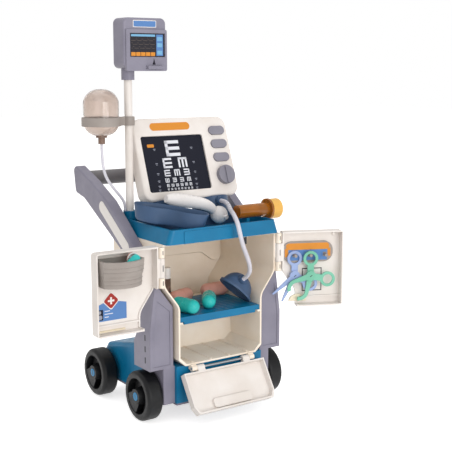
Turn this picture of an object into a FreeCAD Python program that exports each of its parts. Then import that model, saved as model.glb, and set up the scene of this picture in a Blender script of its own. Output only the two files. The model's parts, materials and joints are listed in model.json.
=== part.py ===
import FreeCAD, Part
import Sketcher
import math
import os
import re

# A toy doctor's trolley: a wheeled chassis, a two-door cabinet with a drop flap, a top tray with a
# chart viewer, a drip pole with a monitor, and the toy instruments that lie and hang on it.
# Millimetres, +Z up, +Y to the rear. Depths are measured back from the cabinet's front edge.

V = FreeCAD.Vector
Z_AXIS = V(0, 0, 1)
X_AXIS = V(1, 0, 0)
Y_AXIS = V(0, 1, 0)

SIZES = {
    # Common
    "wall": 3.0, "overrun": 5.0, "gap": 0.5, "front_y": -106.0, "pin_r": 2.0, "pin_fit": 0.06,
    # Wheels and axles
    "wheel_r": 40.0, "wheel_w": 27.5, "wheel_out": 131.0, "shoulder_r": 6.0, "rim_r": 29.0, "dish": 12.0,
    "dish_draft": 3.0, "hub_r": 12.0, "hub_out": 2.0, "cap_r": 7.0, "cap_seat": 5.0, "cap_gap": 0.4,
    "axle_r": 3.5, "axle_fit": 0.06, "front_axle": 46.0, "rear_axle": 194.0,
    # Chassis
    "ch_front": 4.0, "ch_bottom": 30.0, "ch_half": 99.0, "ch_front_half": 82.0, "ch_step": 66.0,
    "ch_hump": 108.0, "hump_back": 104.0, "ch_tail": 204.0, "ch_tail_z": 86.0, "ch_rear": 221.0,
    "ch_rear_z": 66.0, "ch_tuck": 10.0, "ch_round": 7.0, "plate_t": 3.0,
    # Cabinet
    "cab_bottom": 90.0, "cab_foot": 68.0, "cab_low": 80.0, "cab_chamfer": 11.0, "waist_low": 186.0,
    "waist_high": 222.0, "waist_r": 22.0, "cab_half": 107.0, "cab_top": 287.5, "cab_depth": 158.0,
    "low_depth": 88.0, "deck_z": 158.0, "runner": 5.0, "runner_t": 3.0, "relief": 2.0, "rib_w": 1.6,
    "rib_h": 1.2, "edge_r": 1.0,
    # Door hinges
    "hinge_x": 111.5, "hinge_d": -3.0, "knuckle_r": 5.0, "leaf_d": 8.0, "hinge_low": 222.0,
    "hinge_mid_low": 237.5, "hinge_mid_high": 268.5, "hinge_high": 285.0,
    # Doors
    "door_edge": 6.5, "door_deep": 18.0, "door_skin": 2.5, "door_low": 160.0, "door_high": 286.5,
    "door_meet": 1.0, "ledge_z": 173.0, "ledge_deep": 4.5, "waist_rim": 5.0, "ledge_t": 2.5,
    "left_open": 180.0, "right_open": 156.0, "door_round": 5.0,
    # Flap
    "flap_half": 77.0, "flap_low": 92.0, "flap_high": 158.5, "flap_deep": 13.0, "flap_skin": 2.5,
    "flap_cut": 12.0, "flap_d": -4.0, "flap_z": 85.5, "flap_knuckle": 4.5, "flap_open": 147.0,
    "flap_ear_in": 37.0, "flap_ear_out": 50.0, "flap_lug_out": 60.0, "pull_half": 34.0, "pull_r": 5.0,
    "pull_z": 146.0, "pull_rise": 4.0,
    # Shelf
    "shelf_half": 76.5, "shelf_t": 8.0, "shelf_front": 2.0, "shelf_deep": 112.0, "shelf_lip": 4.0,
    "groove_w": 2.4, "groove_deep": 1.4, "groove_pitch": 9.0,
    # Top tray
    "tray_half": 106.0, "tray_half_top": 98.5, "tray_front": -12.0, "tray_back": 162.0, "tray_h": 22.5,
    "tray_floor_t": 5.0, "tray_wall": 3.5, "tray_round": 7.0, "cradle_x": 64.0, "cradle_t": 6.0,
    # Side columns
    "col_front": 9.5, "col_gap": 4.0, "col_step": 88.0, "col_top": 234.0, "col_tip": 114.5,
    "col_out_top": 119.0, "col_bend_z": 205.0, "col_out": 126.0, "col_mid_z": 150.0, "col_back": 60.0,
    "col_back_z": 128.0, "col_waist": 50.0, "col_waist_z": 145.0, "col_neck": 46.0, "col_neck_z": 200.0,
    "col_crown": 20.0, "leg_out": 102.5, "col_round": 1.5, "col_panel": 1.2, "col_inset": 6.0,
    # Handle
    "arm_in": 108.0, "arm_out": 125.0, "bar_in": 11.0, "bar_z": 366.0, "bar_r": 12.5, "spigot_r": 8.0,
    "spigot_len": 9.0, "arm_end": 268.0, "arm_end_z": 392.0, "arm_top_d": 200.0, "arm_top_z": 366.0,
    "arm_mid_d": 143.0, "arm_mid_z": 339.0, "arm_low_d": 36.0, "arm_low_z": 259.0, "arm_under_d": 60.0,
    "arm_under_z": 238.0, "arm_belly_d": 105.0, "arm_belly_z": 268.0, "arm_heel_d": 228.0,
    "arm_heel_z": 335.0, "arm_tail_d": 260.0, "arm_tail_z": 342.0, "arm_round": 3.0, "arm_corner": 9.0,
    "arm_boss_d": 78.0, "arm_boss_z": 264.0, "arm_boss_r": 9.0,
    # Drip pole and bottle
    "pole_x": -88.0, "pole_d": 135.0, "pole_r": 6.5, "pole_bore": 5.0, "pole_top": 556.0, "boss_r": 11.0,
    "boss_h": 30.0, "bottle_x": -137.0, "bottle_r": 28.0, "bottle_low": 446.0, "bottle_neck": 9.0,
    "bottle_shoulder": 468.0, "bottle_side": 500.0, "bottle_top": 519.0, "bottle_wall": 1.6,
    "bottle_flat": 3.0, "ring_low": 461.0, "ring_h": 14.0, "ring_t": 3.0, "ring_fit": 0.2, "clip_r": 10.0,
    "strut_w": 9.0, "nozzle_low": 433.0, "nozzle_r": 5.5, "drip_r": 2.3,
    # Monitor
    "mon_left": -105.0, "mon_right": -28.0, "mon_front": 116.0, "mon_split": 124.0, "mon_back": 152.0,
    "mon_low": 551.0, "mon_high": 630.0, "mon_round": 9.0, "sleeve_low": 533.0, "sleeve_r": 10.5,
    "sleeve_top": 566.0, "screen_deep": 2.0, "screen_left": 10.0, "screen_right": 3.5, "screen_low": 18.0,
    "screen_high": 24.0, "mon_edge": 3.0, "stem_r": 3.0, "stem_len": 4.0, "knob_cap_r": 7.0,
    "knob_cap_t": 4.5, "mon_knob_z": 562.0, "mon_lip_deep": 9.0, "mon_lip_h": 5.0, "mon_notch_w": 20.0,
    "panel_t": 3.0, "panel_in": 3.0, "panel_top": 18.0, "panel_drop": 4.0, "notch_x": 53.0,
    "notch_half": 3.0, "notch_low": 6.0, "notch_high": 16.0,
    # Chart viewer
    "view_x": 15.0, "view_d": 100.0, "view_z": 339.0, "view_tilt": 20.0, "view_half": 92.0, "view_h": 140.0,
    "view_front_t": 16.0, "view_back_t": 18.0, "view_round": 17.0, "view_edge": 4.0, "view_back_in": 5.0,
    "win_x": -21.3, "win_half": 59.8, "win_low": 14.4, "win_high": 109.0, "card_t": 1.0, "card_half": 62.8,
    "card_low": 10.5, "card_gap": 0.3, "card_lip": 4.0, "card_top": 3.0, "button_x": 68.5,
    "button_half": 15.5, "button_r": 7.3, "button_out": 3.0, "button_top": 114.0, "button_pitch": 23.6,
    "button_lip": 1.5, "button_lip_t": 2.0, "button_gap": 0.35, "dial_z": 35.0, "dial_r": 16.0,
    "dial_h": 8.0, "dial_shaft": 3.0, "dial_collar": 5.0, "dial_mark": 2.4,
    # Viewer stand and hose port
    "stand_left": -64.0, "stand_gap": 2.0, "stand_front": 90.0, "stand_back": 152.0, "plinth_h": 14.0,
    "drum_r": 28.0, "drum_left_x": -34.0, "drum_draft": 5.0, "port_x": 57.0, "port_z": 333.0, "port_r": 6.5,
    "port_len": 6.0, "hose_r": 3.6,
    # Door basket and its tools
    "basket_in": 38.0, "basket_out": 106.0, "basket_low": 236.0, "basket_high": 276.0, "basket_deep": 46.0,
    "basket_wall": 2.0, "basket_draft": 6.0, "basket_round": 12.0, "mirror_r": 10.0, "tier_step": 1.4,
    "tier_z": 254.0, "rim_room": 19.5, "tool_room": 29.0, "grip_r": 6.8, "grip_len": 38.0,
    "grip_lift": 13.0,
    # Tool hanger
    "hanger_in": 9.0, "hanger_out": 96.0, "hanger_low": 233.0, "hanger_high": 268.0, "hanger_t": 3.0,
    "hanger_round": 16.0, "peg_r": 2.6, "peg_len": 11.0, "peg_z": 245.4, "peg_first": 30.0,
    "peg_pitch": 26.0,
    # Scissors and forceps
    "tool_t": 2.6, "tool_gap": 0.35, "loop_r": 12.7, "loop_hole": 8.0, "pivot_r": 8.5, "rivet_r": 2.2,
    "rivet_fit": 0.06, "shank_w": 11.0, "scissor_tip": 2.4, "forceps_tip": 6.0, "scissor_reach": 29.0,
    "scissor_blade": 47.0, "forceps_reach": 29.0, "forceps_blade": 29.0, "hook_r": 13.0,
    "scissor_loop": -62.0, "scissor_low": 26.0, "scissor_high": 52.0, "forceps_loop": -78.0,
    "forceps_low": 13.0, "forceps_high": 74.0, "mirror_lean": -9.0, "probe_lean": -50.0,
    # Instruments on the tray
    "dish_long": 118.0, "dish_wide": 50.0, "dish_h": 19.0, "dish_wall": 2.0, "dish_x": -72.0,
    "dish_d": 38.0, "dish_z": 311.0, "dish_turn": -36.6, "dish_tilt": 9.0, "tube_r": 11.0, "tube_d": 26.0,
    "tube_z": 321.6, "tube_left": 48.0, "tube_right": 108.0, "tube_bore": 9.2, "flange_r": 17.5,
    "flange_t": 4.0, "plug_r": 16.5, "plug_t": 20.0, "plug_lip": 8.0, "plug_fit": 0.1, "therm_len": 114.0,
    "therm_r": 11.0, "therm_x": -57.0, "therm_d": 73.0, "therm_z": 346.0, "therm_lean": 11.0,
    "head_r": 14.5, "head_drop": 14.0, "probe_r": 6.0, "probe_tip": 3.5, "probe_len": 18.0,
    # Instruments on the shelf
    "egg_r": 11.5, "egg_half": 26.0, "seam_rise": 0.4, "seam_w": 1.6, "vial_r": 7.5, "vial_h": 46.0,
    "vial_cap_h": 13.0, "vial_x": -42.0, "vial_d": 100.0, "mask_r": 30.0, "mask_w": 21.0, "mask_h": 30.0,
    "mask_wall": 2.5, "mask_lip": 3.0, "mask_lip_t": 4.0, "mask_x": 45.0, "mask_d": 27.0, "mask_lean": 42.0,
    "mask_port": 6.5, "mask_neck": 5.0, "neck_fall": 58.0, "neck_turn": 276.0, "teal_left_x": -52.0,
    "teal_left_d": 24.0, "teal_left_turn": 105.0, "teal_right_x": 0.0, "teal_right_d": 36.0,
    "teal_right_turn": 55.0, "pink_left_x": -26.0, "pink_left_d": 80.0, "pink_left_turn": 20.0,
    "pink_right_x": 48.0, "pink_right_d": 92.0, "pink_right_turn": 0.0,
    # Door catch
    "catch_x": 44.0, "catch_w": 9.0, "catch_d": 5.0, "catch_deep": 9.0, "catch_h": 13.0,
}

doc = FreeCAD.newDocument("doctor_trolley")
sheet = doc.addObject("Spreadsheet::Sheet", "dims")
for row, (alias, length) in enumerate(SIZES.items(), start=1):
    sheet.set(f"A{row}", str(length))
    sheet.setAlias(f"A{row}", alias)
doc.recompute()

WORD = re.compile(r"[a-z_][a-z0-9_]*")
PLANE_ROLES = {"XY": "XY_Plane", "XZ": "XZ_Plane", "YZ": "YZ_Plane"}
NODES = []
GROOVES = 10


def bound(text):
    """Return an expression in which every size name points at its cell of the sheet."""
    return WORD.sub(lambda m: "dims." + m.group() if m.group() in SIZES else m.group(), str(text))


def size(text):
    """Return the value of an expression in millimetres or degrees."""
    return float(sheet.evalExpression(bound(text)))


def point(x, y, z):
    """Return the vector of three expressions."""
    return V(size(x), size(y), size(z))


def new_body(label):
    """Add an empty body whose origin stands on the cabinet's front edge plane."""
    body = doc.addObject("PartDesign::Body", label)
    body.Label = label
    body.setExpression("Placement.Base.y", bound("front_y"))
    NODES.append(body)
    return body


def bind(sketch, kind, geometry, place, text):
    """Hold one point or radius of a sketch to an expression."""
    if kind == "Radius":
        index = sketch.addConstraint(Sketcher.Constraint(kind, geometry, size(text)))
    else:
        index = sketch.addConstraint(Sketcher.Constraint(kind, -1, 1, geometry, place, size(text)))
    sketch.setExpression(f"Constraints[{index}]", bound(text))


def draw_polygon(sketch, corners):
    """Draw a closed outline whose corners follow expressions."""
    first = sketch.GeometryCount
    ends = [V(size(a), size(b), 0) for a, b in corners]
    count = len(ends)
    for i, end in enumerate(ends):
        sketch.addGeometry(Part.LineSegment(end, ends[(i + 1) % count]))
    for i in range(count):
        sketch.addConstraint(Sketcher.Constraint("Coincident", first + i, 2, first + (i + 1) % count, 1))
    for i, (a, b) in enumerate(corners):
        bind(sketch, "DistanceX", first + i, 1, a)
        bind(sketch, "DistanceY", first + i, 1, b)


def draw_circle(sketch, a, b, radius):
    """Draw a circle whose centre and radius follow expressions."""
    circle = Part.Circle(V(size(a), size(b), 0), Z_AXIS, size(radius))
    index = sketch.addGeometry(circle)
    bind(sketch, "Radius", index, 0, radius)
    bind(sketch, "DistanceX", index, 3, a)
    bind(sketch, "DistanceY", index, 3, b)


def draw_rounded(sketch, a0, b0, a1, b1, radius):
    """Draw a rectangle with round corners whose sides and radius follow expressions."""
    first = sketch.GeometryCount
    left, low, right, high, r = size(a0), size(b0), size(a1), size(b1), size(radius)
    ends = [(V(left + r, low), V(right - r, low)), (V(right, low + r), V(right, high - r)),
            (V(right - r, high), V(left + r, high)), (V(left, high - r), V(left, low + r))]
    for start, end in ends:
        sketch.addGeometry(Part.LineSegment(start, end))
    centres = [V(right - r, low + r), V(right - r, high - r), V(left + r, high - r), V(left + r, low + r)]
    for i, centre in enumerate(centres):
        turn = (i - 1) * math.pi / 2
        sketch.addGeometry(Part.ArcOfCircle(Part.Circle(centre, Z_AXIS, r), turn, turn + math.pi / 2))
    for i in range(4):
        sketch.addConstraint(Sketcher.Constraint("Tangent", first + i, 2, first + 4 + i, 1))
        sketch.addConstraint(Sketcher.Constraint("Tangent", first + 4 + i, 2, first + (i + 1) % 4, 1))
        sketch.addConstraint(Sketcher.Constraint("Vertical" if i % 2 else "Horizontal", first + i))
        bind(sketch, "Radius", first + 4 + i, 0, radius)
    for line, kind, text in ((0, "DistanceY", b0), (1, "DistanceX", a1), (2, "DistanceY", b1), (3, "DistanceX", a0)):
        bind(sketch, kind, first + line, 1, text)


def draw(body, plane, start, loops):
    """Add a sketch to a body, on a base plane moved along its axis to start."""
    sketch = body.newObject("Sketcher::SketchObject", f"{body.Label}_sketch")
    origin = [item for item in body.Origin.OriginFeatures if item.Role == PLANE_ROLES[plane]][0]
    sketch.AttachmentSupport = [(origin, "")]
    sketch.MapMode = "FlatFace"
    offset = f"-({start})" if plane == "XZ" else f"{start}"
    sketch.setExpression("AttachmentOffset.Base.z", bound(offset))
    for loop in loops:
        if isinstance(loop, list):
            draw_polygon(sketch, loop)
        elif len(loop) == 5:
            draw_rounded(sketch, *loop)
        else:
            draw_circle(sketch, *loop)
    return sketch


def pad(body, plane, start, length, *loops):
    """Add material from start to start + length along the plane's axis."""
    sketch = draw(body, plane, start, loops)
    feature = body.newObject("PartDesign::Pad", f"{body.Label}_pad")
    feature.Profile = sketch
    feature.setExpression("Length", bound(length))
    feature.Reversed = plane == "XZ"
    return feature


def pocket(body, plane, start, length, *loops):
    """Remove material from start to start + length along the plane's axis."""
    sketch = draw(body, plane, start, loops)
    feature = body.newObject("PartDesign::Pocket", f"{body.Label}_pocket")
    feature.Profile = sketch
    feature.setExpression("Length", bound(length))
    feature.Reversed = plane != "XZ"
    return feature


def revolve(body, *loops):
    """Turn an outline of radius and height about the body's own Z axis."""
    sketch = draw(body, "XZ", "0", loops)
    feature = body.newObject("PartDesign::Revolution", f"{body.Label}_turn")
    feature.Profile = sketch
    feature.ReferenceAxis = (sketch, ["V_Axis"])
    return feature


def fillet(body, radius, chosen):
    """Round the edges of a body that a test picks out."""
    doc.recompute()
    tip = body.Tip
    names = [f"Edge{i}" for i, edge in enumerate(tip.Shape.Edges, start=1) if chosen(edge)]
    if not names:
        raise RuntimeError(f"no edge of {body.Label} was picked for a fillet")
    feature = body.newObject("PartDesign::Fillet", f"{body.Label}_fillet")
    feature.Base = (tip, names)
    feature.setExpression("Radius", bound(radius))
    return feature


def near(value, target):
    """Say whether two lengths agree closely."""
    return abs(value - target) < size("gap") / 10


def runs_along(axis, *places):
    """Return a test for straight edges along an axis that pass through given places."""
    spots = [(size(a), size(b)) for a, b in places]

    def chosen(edge):
        ends = [(v.X, v.Y, v.Z) for v in edge.Vertexes]
        if len(ends) != 2:
            return False
        others = [i for i in range(3) if i != axis]
        for a, b in spots:
            if all(near(end[others[0]], a) and near(end[others[1]], b) for end in ends):
                return True
        return False
    return chosen


def lies_at(axis, *levels):
    """Return a test for edges that lie wholly at one level along an axis."""
    values = [size(level) for level in levels]

    def chosen(edge):
        box = edge.BoundBox
        low = (box.XMin, box.YMin, box.ZMin)[axis]
        high = (box.XMax, box.YMax, box.ZMax)[axis]
        return any(near(low, value) and near(high, value) for value in values)
    return chosen


def rectangle(a0, b0, a1, b1):
    """Return the four corners of a rectangle."""
    return [(a0, b0), (a1, b0), (a1, b1), (a0, b1)]


def mirrored(corners):
    """Return an outline that is symmetrical about zero, from its right half read upwards."""
    left = [(f"-({a})", b) for a, b in reversed(corners)]
    return list(corners) + left


def place(body, placement):
    """Put a body in the trolley's frame."""
    body.setExpression("Placement.Base.y", None)
    body.Placement = placement


def feature(label, shape, placement=None):
    """Add a free-form piece."""
    item = doc.addObject("Part::Feature", label)
    item.Label = label
    item.Shape = shape
    item.Placement = placement or FreeCAD.Placement(point("0", "front_y", "0"), FreeCAD.Rotation())
    NODES.append(item)
    return item


def turned(base, axis, angle, centre):
    """Return a placement turned about an axis through a point of the trolley's frame."""
    return FreeCAD.Placement(V(), FreeCAD.Rotation(axis, angle), centre).multiply(base)


AT_FRONT = FreeCAD.Placement(point("0", "front_y", "0"), FreeCAD.Rotation())


def door_placement(side):
    """Return where a door and what hangs on it stand when it is open."""
    centre = point(f"{side} * hinge_x", "front_y + hinge_d", "0")
    angle = size("right_open") if side > 0 else -size("left_open")
    return turned(AT_FRONT, Z_AXIS, angle, centre)


def flap_placement():
    """Return where the flap lies when it is down."""
    return turned(AT_FRONT, X_AXIS, size("flap_open"), point("0", "front_y + flap_d", "flap_z"))


def viewer_placement():
    """Return where the chart viewer leans back on its stand."""
    corner = point("view_x", "front_y + view_d", "view_z")
    return FreeCAD.Placement(corner, FreeCAD.Rotation(X_AXIS, -size("view_tilt")))


# Chassis

def make_chassis():
    """Build the blue wheel box, open below, with room for the two side legs at its front."""
    body = new_body("chassis")
    tail = [("ch_front", "ch_bottom"), ("ch_front", "cab_bottom"), ("low_depth", "cab_bottom"),
            ("low_depth", "ch_hump"), ("hump_back", "ch_hump"), ("ch_tail", "ch_tail_z"),
            ("ch_rear", "ch_rear_z"), ("ch_rear", "ch_bottom + ch_tuck"), ("ch_rear - ch_tuck", "ch_bottom")]
    pad(body, "YZ", "-ch_half", "2 * ch_half", tail)
    for side in (-1, 1):
        pocket(body, "XY", "ch_bottom - overrun", "ch_hump",
               rectangle(f"{side} * ch_front_half", "ch_front - overrun",
                         f"{side} * (ch_half + overrun)", "ch_step"))
    fillet(body, "ch_round", runs_along(0, ("ch_tail", "ch_tail_z"), ("ch_rear", "ch_rear_z")))
    fillet(body, "ch_round", lambda edge: is_upper_side(edge))
    inside = [("ch_step + wall", "ch_bottom - overrun"), ("ch_step + wall", "cab_bottom - wall"),
              ("low_depth + wall", "cab_bottom - wall"), ("low_depth + wall", "ch_hump - wall"),
              ("hump_back - wall", "ch_hump - wall"), ("ch_tail - 2 * wall", "ch_tail_z - wall"),
              ("ch_rear - wall", "ch_rear_z - 2 * wall"), ("ch_rear - wall", "ch_bottom - overrun")]
    pocket(body, "YZ", "-(ch_half - wall)", "2 * (ch_half - wall)", inside)
    pocket(body, "YZ", "-(ch_front_half - wall)", "2 * (ch_front_half - wall)",
           rectangle("ch_front + wall", "ch_bottom - overrun", "ch_step + 2 * wall", "cab_bottom - wall"))
    pocket(body, "YZ", "-(ch_half + overrun)", "2 * (ch_half + overrun)",
           ("front_axle", "wheel_r", "axle_r"), ("rear_axle", "wheel_r", "axle_r"))
    return body


def is_upper_side(edge):
    """Pick the chassis's upper side edges behind the cabinet."""
    box = edge.BoundBox
    on_side = near(abs(box.XMin), size("ch_half")) and near(abs(box.XMax), size("ch_half"))
    upper = box.ZMin > size("ch_rear_z - ch_round") and box.YMin > size("low_depth - gap")
    return on_side and upper and box.YLength > size("gap")


def make_base_plate():
    """Build the flat plate that closes the chassis below."""
    body = new_body("base_plate")
    pad(body, "XY", "ch_bottom - plate_t", "plate_t",
        mirrored([("ch_front_half", "ch_front"), ("ch_front_half", "ch_step"), ("ch_half", "ch_step"),
                  ("ch_half", "ch_rear - ch_tuck")]))
    return body


# Cabinet

def cabinet_half(inset):
    """Return the right half of the cabinet's front outline, drawn in by an inset."""
    return [(f"cab_foot - {inset}", f"cab_bottom + {inset}"),
            (f"cab_low - {inset}", f"cab_bottom + cab_chamfer + {inset}"),
            (f"cab_low - {inset}", "waist_low"), (f"cab_half - {inset}", "waist_high"),
            (f"cab_half - {inset}", f"cab_top - {inset}")]


def make_cabinet():
    """Build the waisted cabinet shell with its runners, ribs and hinge knuckles."""
    body = new_body("cabinet")
    pad(body, "XZ", "0", "cab_depth", mirrored(cabinet_half("0")))
    pocket(body, "YZ", "-(cab_half + overrun)", "2 * (cab_half + overrun)",
           rectangle("low_depth", "cab_bottom - overrun", "cab_depth + overrun", "deck_z"))
    waist = [(f"{s} * cab_half", "waist_high") for s in (-1, 1)]
    waist += [(f"{s} * cab_low", "waist_low") for s in (-1, 1)]
    fillet(body, "waist_r", runs_along(1, *waist))
    pocket(body, "XZ", "-overrun", "low_depth - wall + overrun", mirrored(cabinet_half("wall")))
    upper = [("cab_low - wall", "deck_z + wall")] + cabinet_half("wall")[2:]
    pocket(body, "XZ", "low_depth - 2 * wall", "cab_depth - low_depth + wall", mirrored(upper))
    inner = [(f"{s} * (cab_half - wall)", "waist_high") for s in (-1, 1)]
    inner += [(f"{s} * (cab_low - wall)", "waist_low") for s in (-1, 1)]
    fillet(body, "waist_r", runs_along(1, *inner))
    for side in (-1, 1):
        pad(body, "XZ", "0", "low_depth - wall",
            rectangle(f"{side} * cab_low", "deck_z + wall - runner_t",
                      f"{side} * (cab_low - wall - runner)", "deck_z + wall"))
    panel_shares = ((-0.6, 0.35), (0.62, 0.35), (0.62, 0.62), (0.4, 0.9), (-0.6, 0.9))
    panel = [(f"{a} * cab_half", f"deck_z + {b} * (cab_top - deck_z)") for a, b in panel_shares]
    pad(body, "XZ", "cab_depth - wall - relief", "2 * relief", panel)
    rib_shares = (-0.66, -0.22, 0.22, 0.66)
    ribs = [rectangle(f"{share} * cab_low - rib_w", "cab_bottom + wall - rib_h",
                      f"{share} * cab_low + rib_w", "cab_bottom + wall + rib_h") for share in rib_shares]
    pad(body, "XZ", "wall", "low_depth - 2 * wall", *ribs)
    for side in (-1, 1):
        for low, high in (("hinge_low", "hinge_mid_low"), ("hinge_mid_high", "hinge_high")):
            pad(body, "XY", low, f"{high} - {low}",
                rectangle(f"{side} * (cab_half - wall)", "0", f"{side} * hinge_x", "leaf_d"))
            pad(body, "XY", low, f"{high} - {low}", (f"{side} * hinge_x", "hinge_d", "knuckle_r"))
        pocket(body, "XY", "hinge_low - overrun", "hinge_high - hinge_low + 2 * overrun",
               (f"{side} * hinge_x", "hinge_d", "pin_r"))
        low_x = "flap_ear_out + gap" if side > 0 else "-flap_lug_out"
        pad(body, "YZ", low_x, "flap_lug_out - flap_ear_out - gap",
            rectangle("flap_d", "flap_z - flap_knuckle / 2", "ch_front - gap", "cab_bottom + wall / 2"))
        pad(body, "YZ", low_x, "flap_lug_out - flap_ear_out - gap", ("flap_d", "flap_z", "flap_knuckle"))
    pocket(body, "YZ", "-(flap_lug_out + overrun)", "2 * (flap_lug_out + overrun)", ("flap_d", "flap_z", "pin_r"))
    return body


def make_shelf():
    """Build the ribbed blue shelf that lies on the cabinet's runners."""
    body = new_body("shelf")
    low = "deck_z + wall"
    pad(body, "XZ", "shelf_front", "shelf_deep",
        rectangle("-shelf_half", low, "shelf_half", f"{low} + shelf_t"))
    pad(body, "XZ", "shelf_front", "2 * wall",
        rectangle("-(shelf_half - runner - wall)", f"{low} - shelf_lip",
                  "shelf_half - runner - wall", f"{low} + shelf_t / 2"))
    grooves = []
    for i in range(1, GROOVES + 1):
        start = f"shelf_front + {i} * groove_pitch"
        grooves.append(rectangle(start, f"{low} + shelf_t - groove_deep", f"{start} + groove_w",
                                 f"{low} + shelf_t + overrun"))
    pocket(body, "YZ", "-(shelf_half - 2 * wall)", "2 * (shelf_half - 2 * wall)", *grooves)
    return body


def make_tray():
    """Build the blue top tray with its drawn-in ends, the pole's boss and the tube's rest."""
    body = new_body("top_tray")
    top = "cab_top + tray_h"
    floor = "cab_top + tray_floor_t"
    pad(body, "XZ", "tray_front", "tray_back - tray_front",
        [("-tray_half", "cab_top"), ("tray_half", "cab_top"), ("tray_half_top", top), ("-tray_half_top", top)])
    fillet(body, "tray_round", lambda edge: is_tray_corner(edge))
    pocket(body, "XY", floor, "tray_h + overrun",
           rectangle("-(tray_half_top - tray_wall)", "tray_front + tray_wall",
                     "tray_half_top - tray_wall", "tray_back - tray_wall"))
    fillet(body, "tray_round / 2", runs_along(
        2, *[(f"{s} * (tray_half_top - tray_wall)", y) for s in (-1, 1)
             for y in ("tray_front + tray_wall", "tray_back - tray_wall")]))
    pad(body, "XY", f"{floor} - wall", "boss_h + wall", ("pole_x", "pole_d", "boss_r"))
    pocket(body, "XY", floor, "boss_h + overrun", ("pole_x", "pole_d", "pole_r"))
    pad(body, "YZ", "cradle_x", "cradle_t",
        rectangle("tube_d - tube_r / 2", f"{floor} - wall", "tube_d + tube_r / 2", "tube_z - tube_r"))
    apron_left_share, apron_right_share = 0.72, 0.14
    pad(body, "XZ", "tray_front - relief / 2", "relief / 2 + wall",
        rectangle(f"-{apron_left_share} * tray_half", "cab_top", f"{apron_right_share} * tray_half", f"{top} - wall"))
    return body


def is_tray_corner(edge):
    """Pick the four slanting corner edges of the tray block."""
    box = edge.BoundBox
    return box.ZLength > size("tray_h / 2") and box.YLength < size("gap")


def make_column(side, label):
    """Build a grey side column: a flared pillar over a leg that carries the front axle."""
    body = new_body(label)
    inner = f"{side} * (cab_low + col_gap)"
    pillar = [(inner, "col_step"), (inner, "waist_low"), (f"{side} * (cab_half + col_gap)", "waist_high"),
              (f"{side} * (cab_half + col_gap)", "col_top"), (f"{side} * col_tip", "col_top"),
              (f"{side} * col_out_top", "col_bend_z"), (f"{side} * col_out", "col_mid_z"),
              (f"{side} * col_out", "col_step")]
    pad(body, "XZ", "col_front", "col_back - col_front", pillar)
    behind = [("col_back", "col_back_z"), ("col_waist", "col_waist_z"), ("col_neck", "col_neck_z"),
              ("col_crown", "col_top"), ("col_crown", "col_top + overrun"),
              ("col_back + overrun", "col_top + overrun"), ("col_back + overrun", "col_back_z")]
    start = "cab_low" if side > 0 else "-(col_out + overrun)"
    pocket(body, "YZ", start, "col_out + overrun - cab_low", behind)
    fillet(body, "col_round", lambda edge: is_pillar_rim(edge))
    low, high = ("ch_front_half", "leg_out") if side > 0 else ("-leg_out", "-ch_front_half")
    pad(body, "YZ", low, f"{high} - ({low})",
        rectangle("col_front", "ch_bottom", "ch_step", "col_step + wall"))
    fillet(body, "col_round", runs_along(2, (f"{side} * leg_out", "col_front")))
    panel = [(f"{side} * (cab_low + col_gap + col_inset)", "col_step + col_inset"),
             (f"{side} * (cab_low + col_gap + col_inset)", "waist_low - col_inset"),
             (f"{side} * (col_out_top - col_inset)", "col_bend_z - col_inset"),
             (f"{side} * (col_out - col_inset)", "col_mid_z"),
             (f"{side} * (col_out - col_inset)", "col_step + col_inset")]
    pocket(body, "XZ", "col_front - overrun", "overrun + col_panel", panel)
    pocket(body, "YZ", f"{low} - overrun", f"{high} - ({low}) + 2 * overrun", ("front_axle", "wheel_r", "axle_r"))
    return body


def is_pillar_rim(edge):
    """Pick the outline edges of a pillar's front face."""
    return lies_at(1, "col_front")(edge)


# Handle

def make_arm(side, label):
    """Build a handle arm, from the column's sloping crown up to the push bar."""
    body = new_body(label)
    outline = [("col_crown", "col_top"), ("col_neck", "col_neck_z"), ("arm_under_d", "arm_under_z"),
               ("arm_belly_d", "arm_belly_z"), ("arm_heel_d", "arm_heel_z"), ("arm_tail_d", "arm_tail_z"),
               ("arm_end", "arm_end_z"), ("arm_top_d", "arm_top_z"), ("arm_mid_d", "arm_mid_z"),
               ("arm_low_d", "arm_low_z")]
    start = "arm_in" if side > 0 else "-arm_out"
    pad(body, "YZ", start, "arm_out - arm_in", outline)
    fillet(body, "arm_corner", runs_along(0, ("arm_tail_d", "arm_tail_z"), ("arm_end", "arm_end_z")))
    fillet(body, "arm_round", lambda edge: is_arm_rim(edge))
    boss_start = "cab_half" if side > 0 else "-arm_in - wall"
    pad(body, "YZ", boss_start, "arm_in - cab_half + wall", ("arm_boss_d", "arm_boss_z", "arm_boss_r"))
    hole_start = "arm_in - overrun" if side > 0 else "-(arm_in + spigot_len)"
    pocket(body, "YZ", hole_start, "overrun + spigot_len", ("arm_tail_d - bar_in", "bar_z", "spigot_r"))
    return body


def is_arm_rim(edge):
    """Pick the outer outline of an arm, leaving the end that sits on the column."""
    box = edge.BoundBox
    on_face = near(abs(box.XMin), size("arm_out")) and near(abs(box.XMax), size("arm_out"))
    return on_face and box.YMax > size("arm_under_d")


def make_push_bar():
    """Build the round push bar with a spigot at each end."""
    body = new_body("push_bar")
    pad(body, "YZ", "-arm_in", "2 * arm_in", ("arm_tail_d - bar_in", "bar_z", "bar_r"))
    pad(body, "YZ", "-(arm_in + spigot_len)", "2 * (arm_in + spigot_len)",
        ("arm_tail_d - bar_in", "bar_z", "spigot_r"))
    return body


# Wheels

def make_axle(label, depth):
    """Build an axle rod that ends under the two axle caps."""
    body = new_body(label)
    reach = "(wheel_out + hub_out - cap_seat + cap_gap)"
    pad(body, "YZ", f"-{reach}", f"2 * {reach}", (depth, "wheel_r", "axle_r"))
    return body


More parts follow.
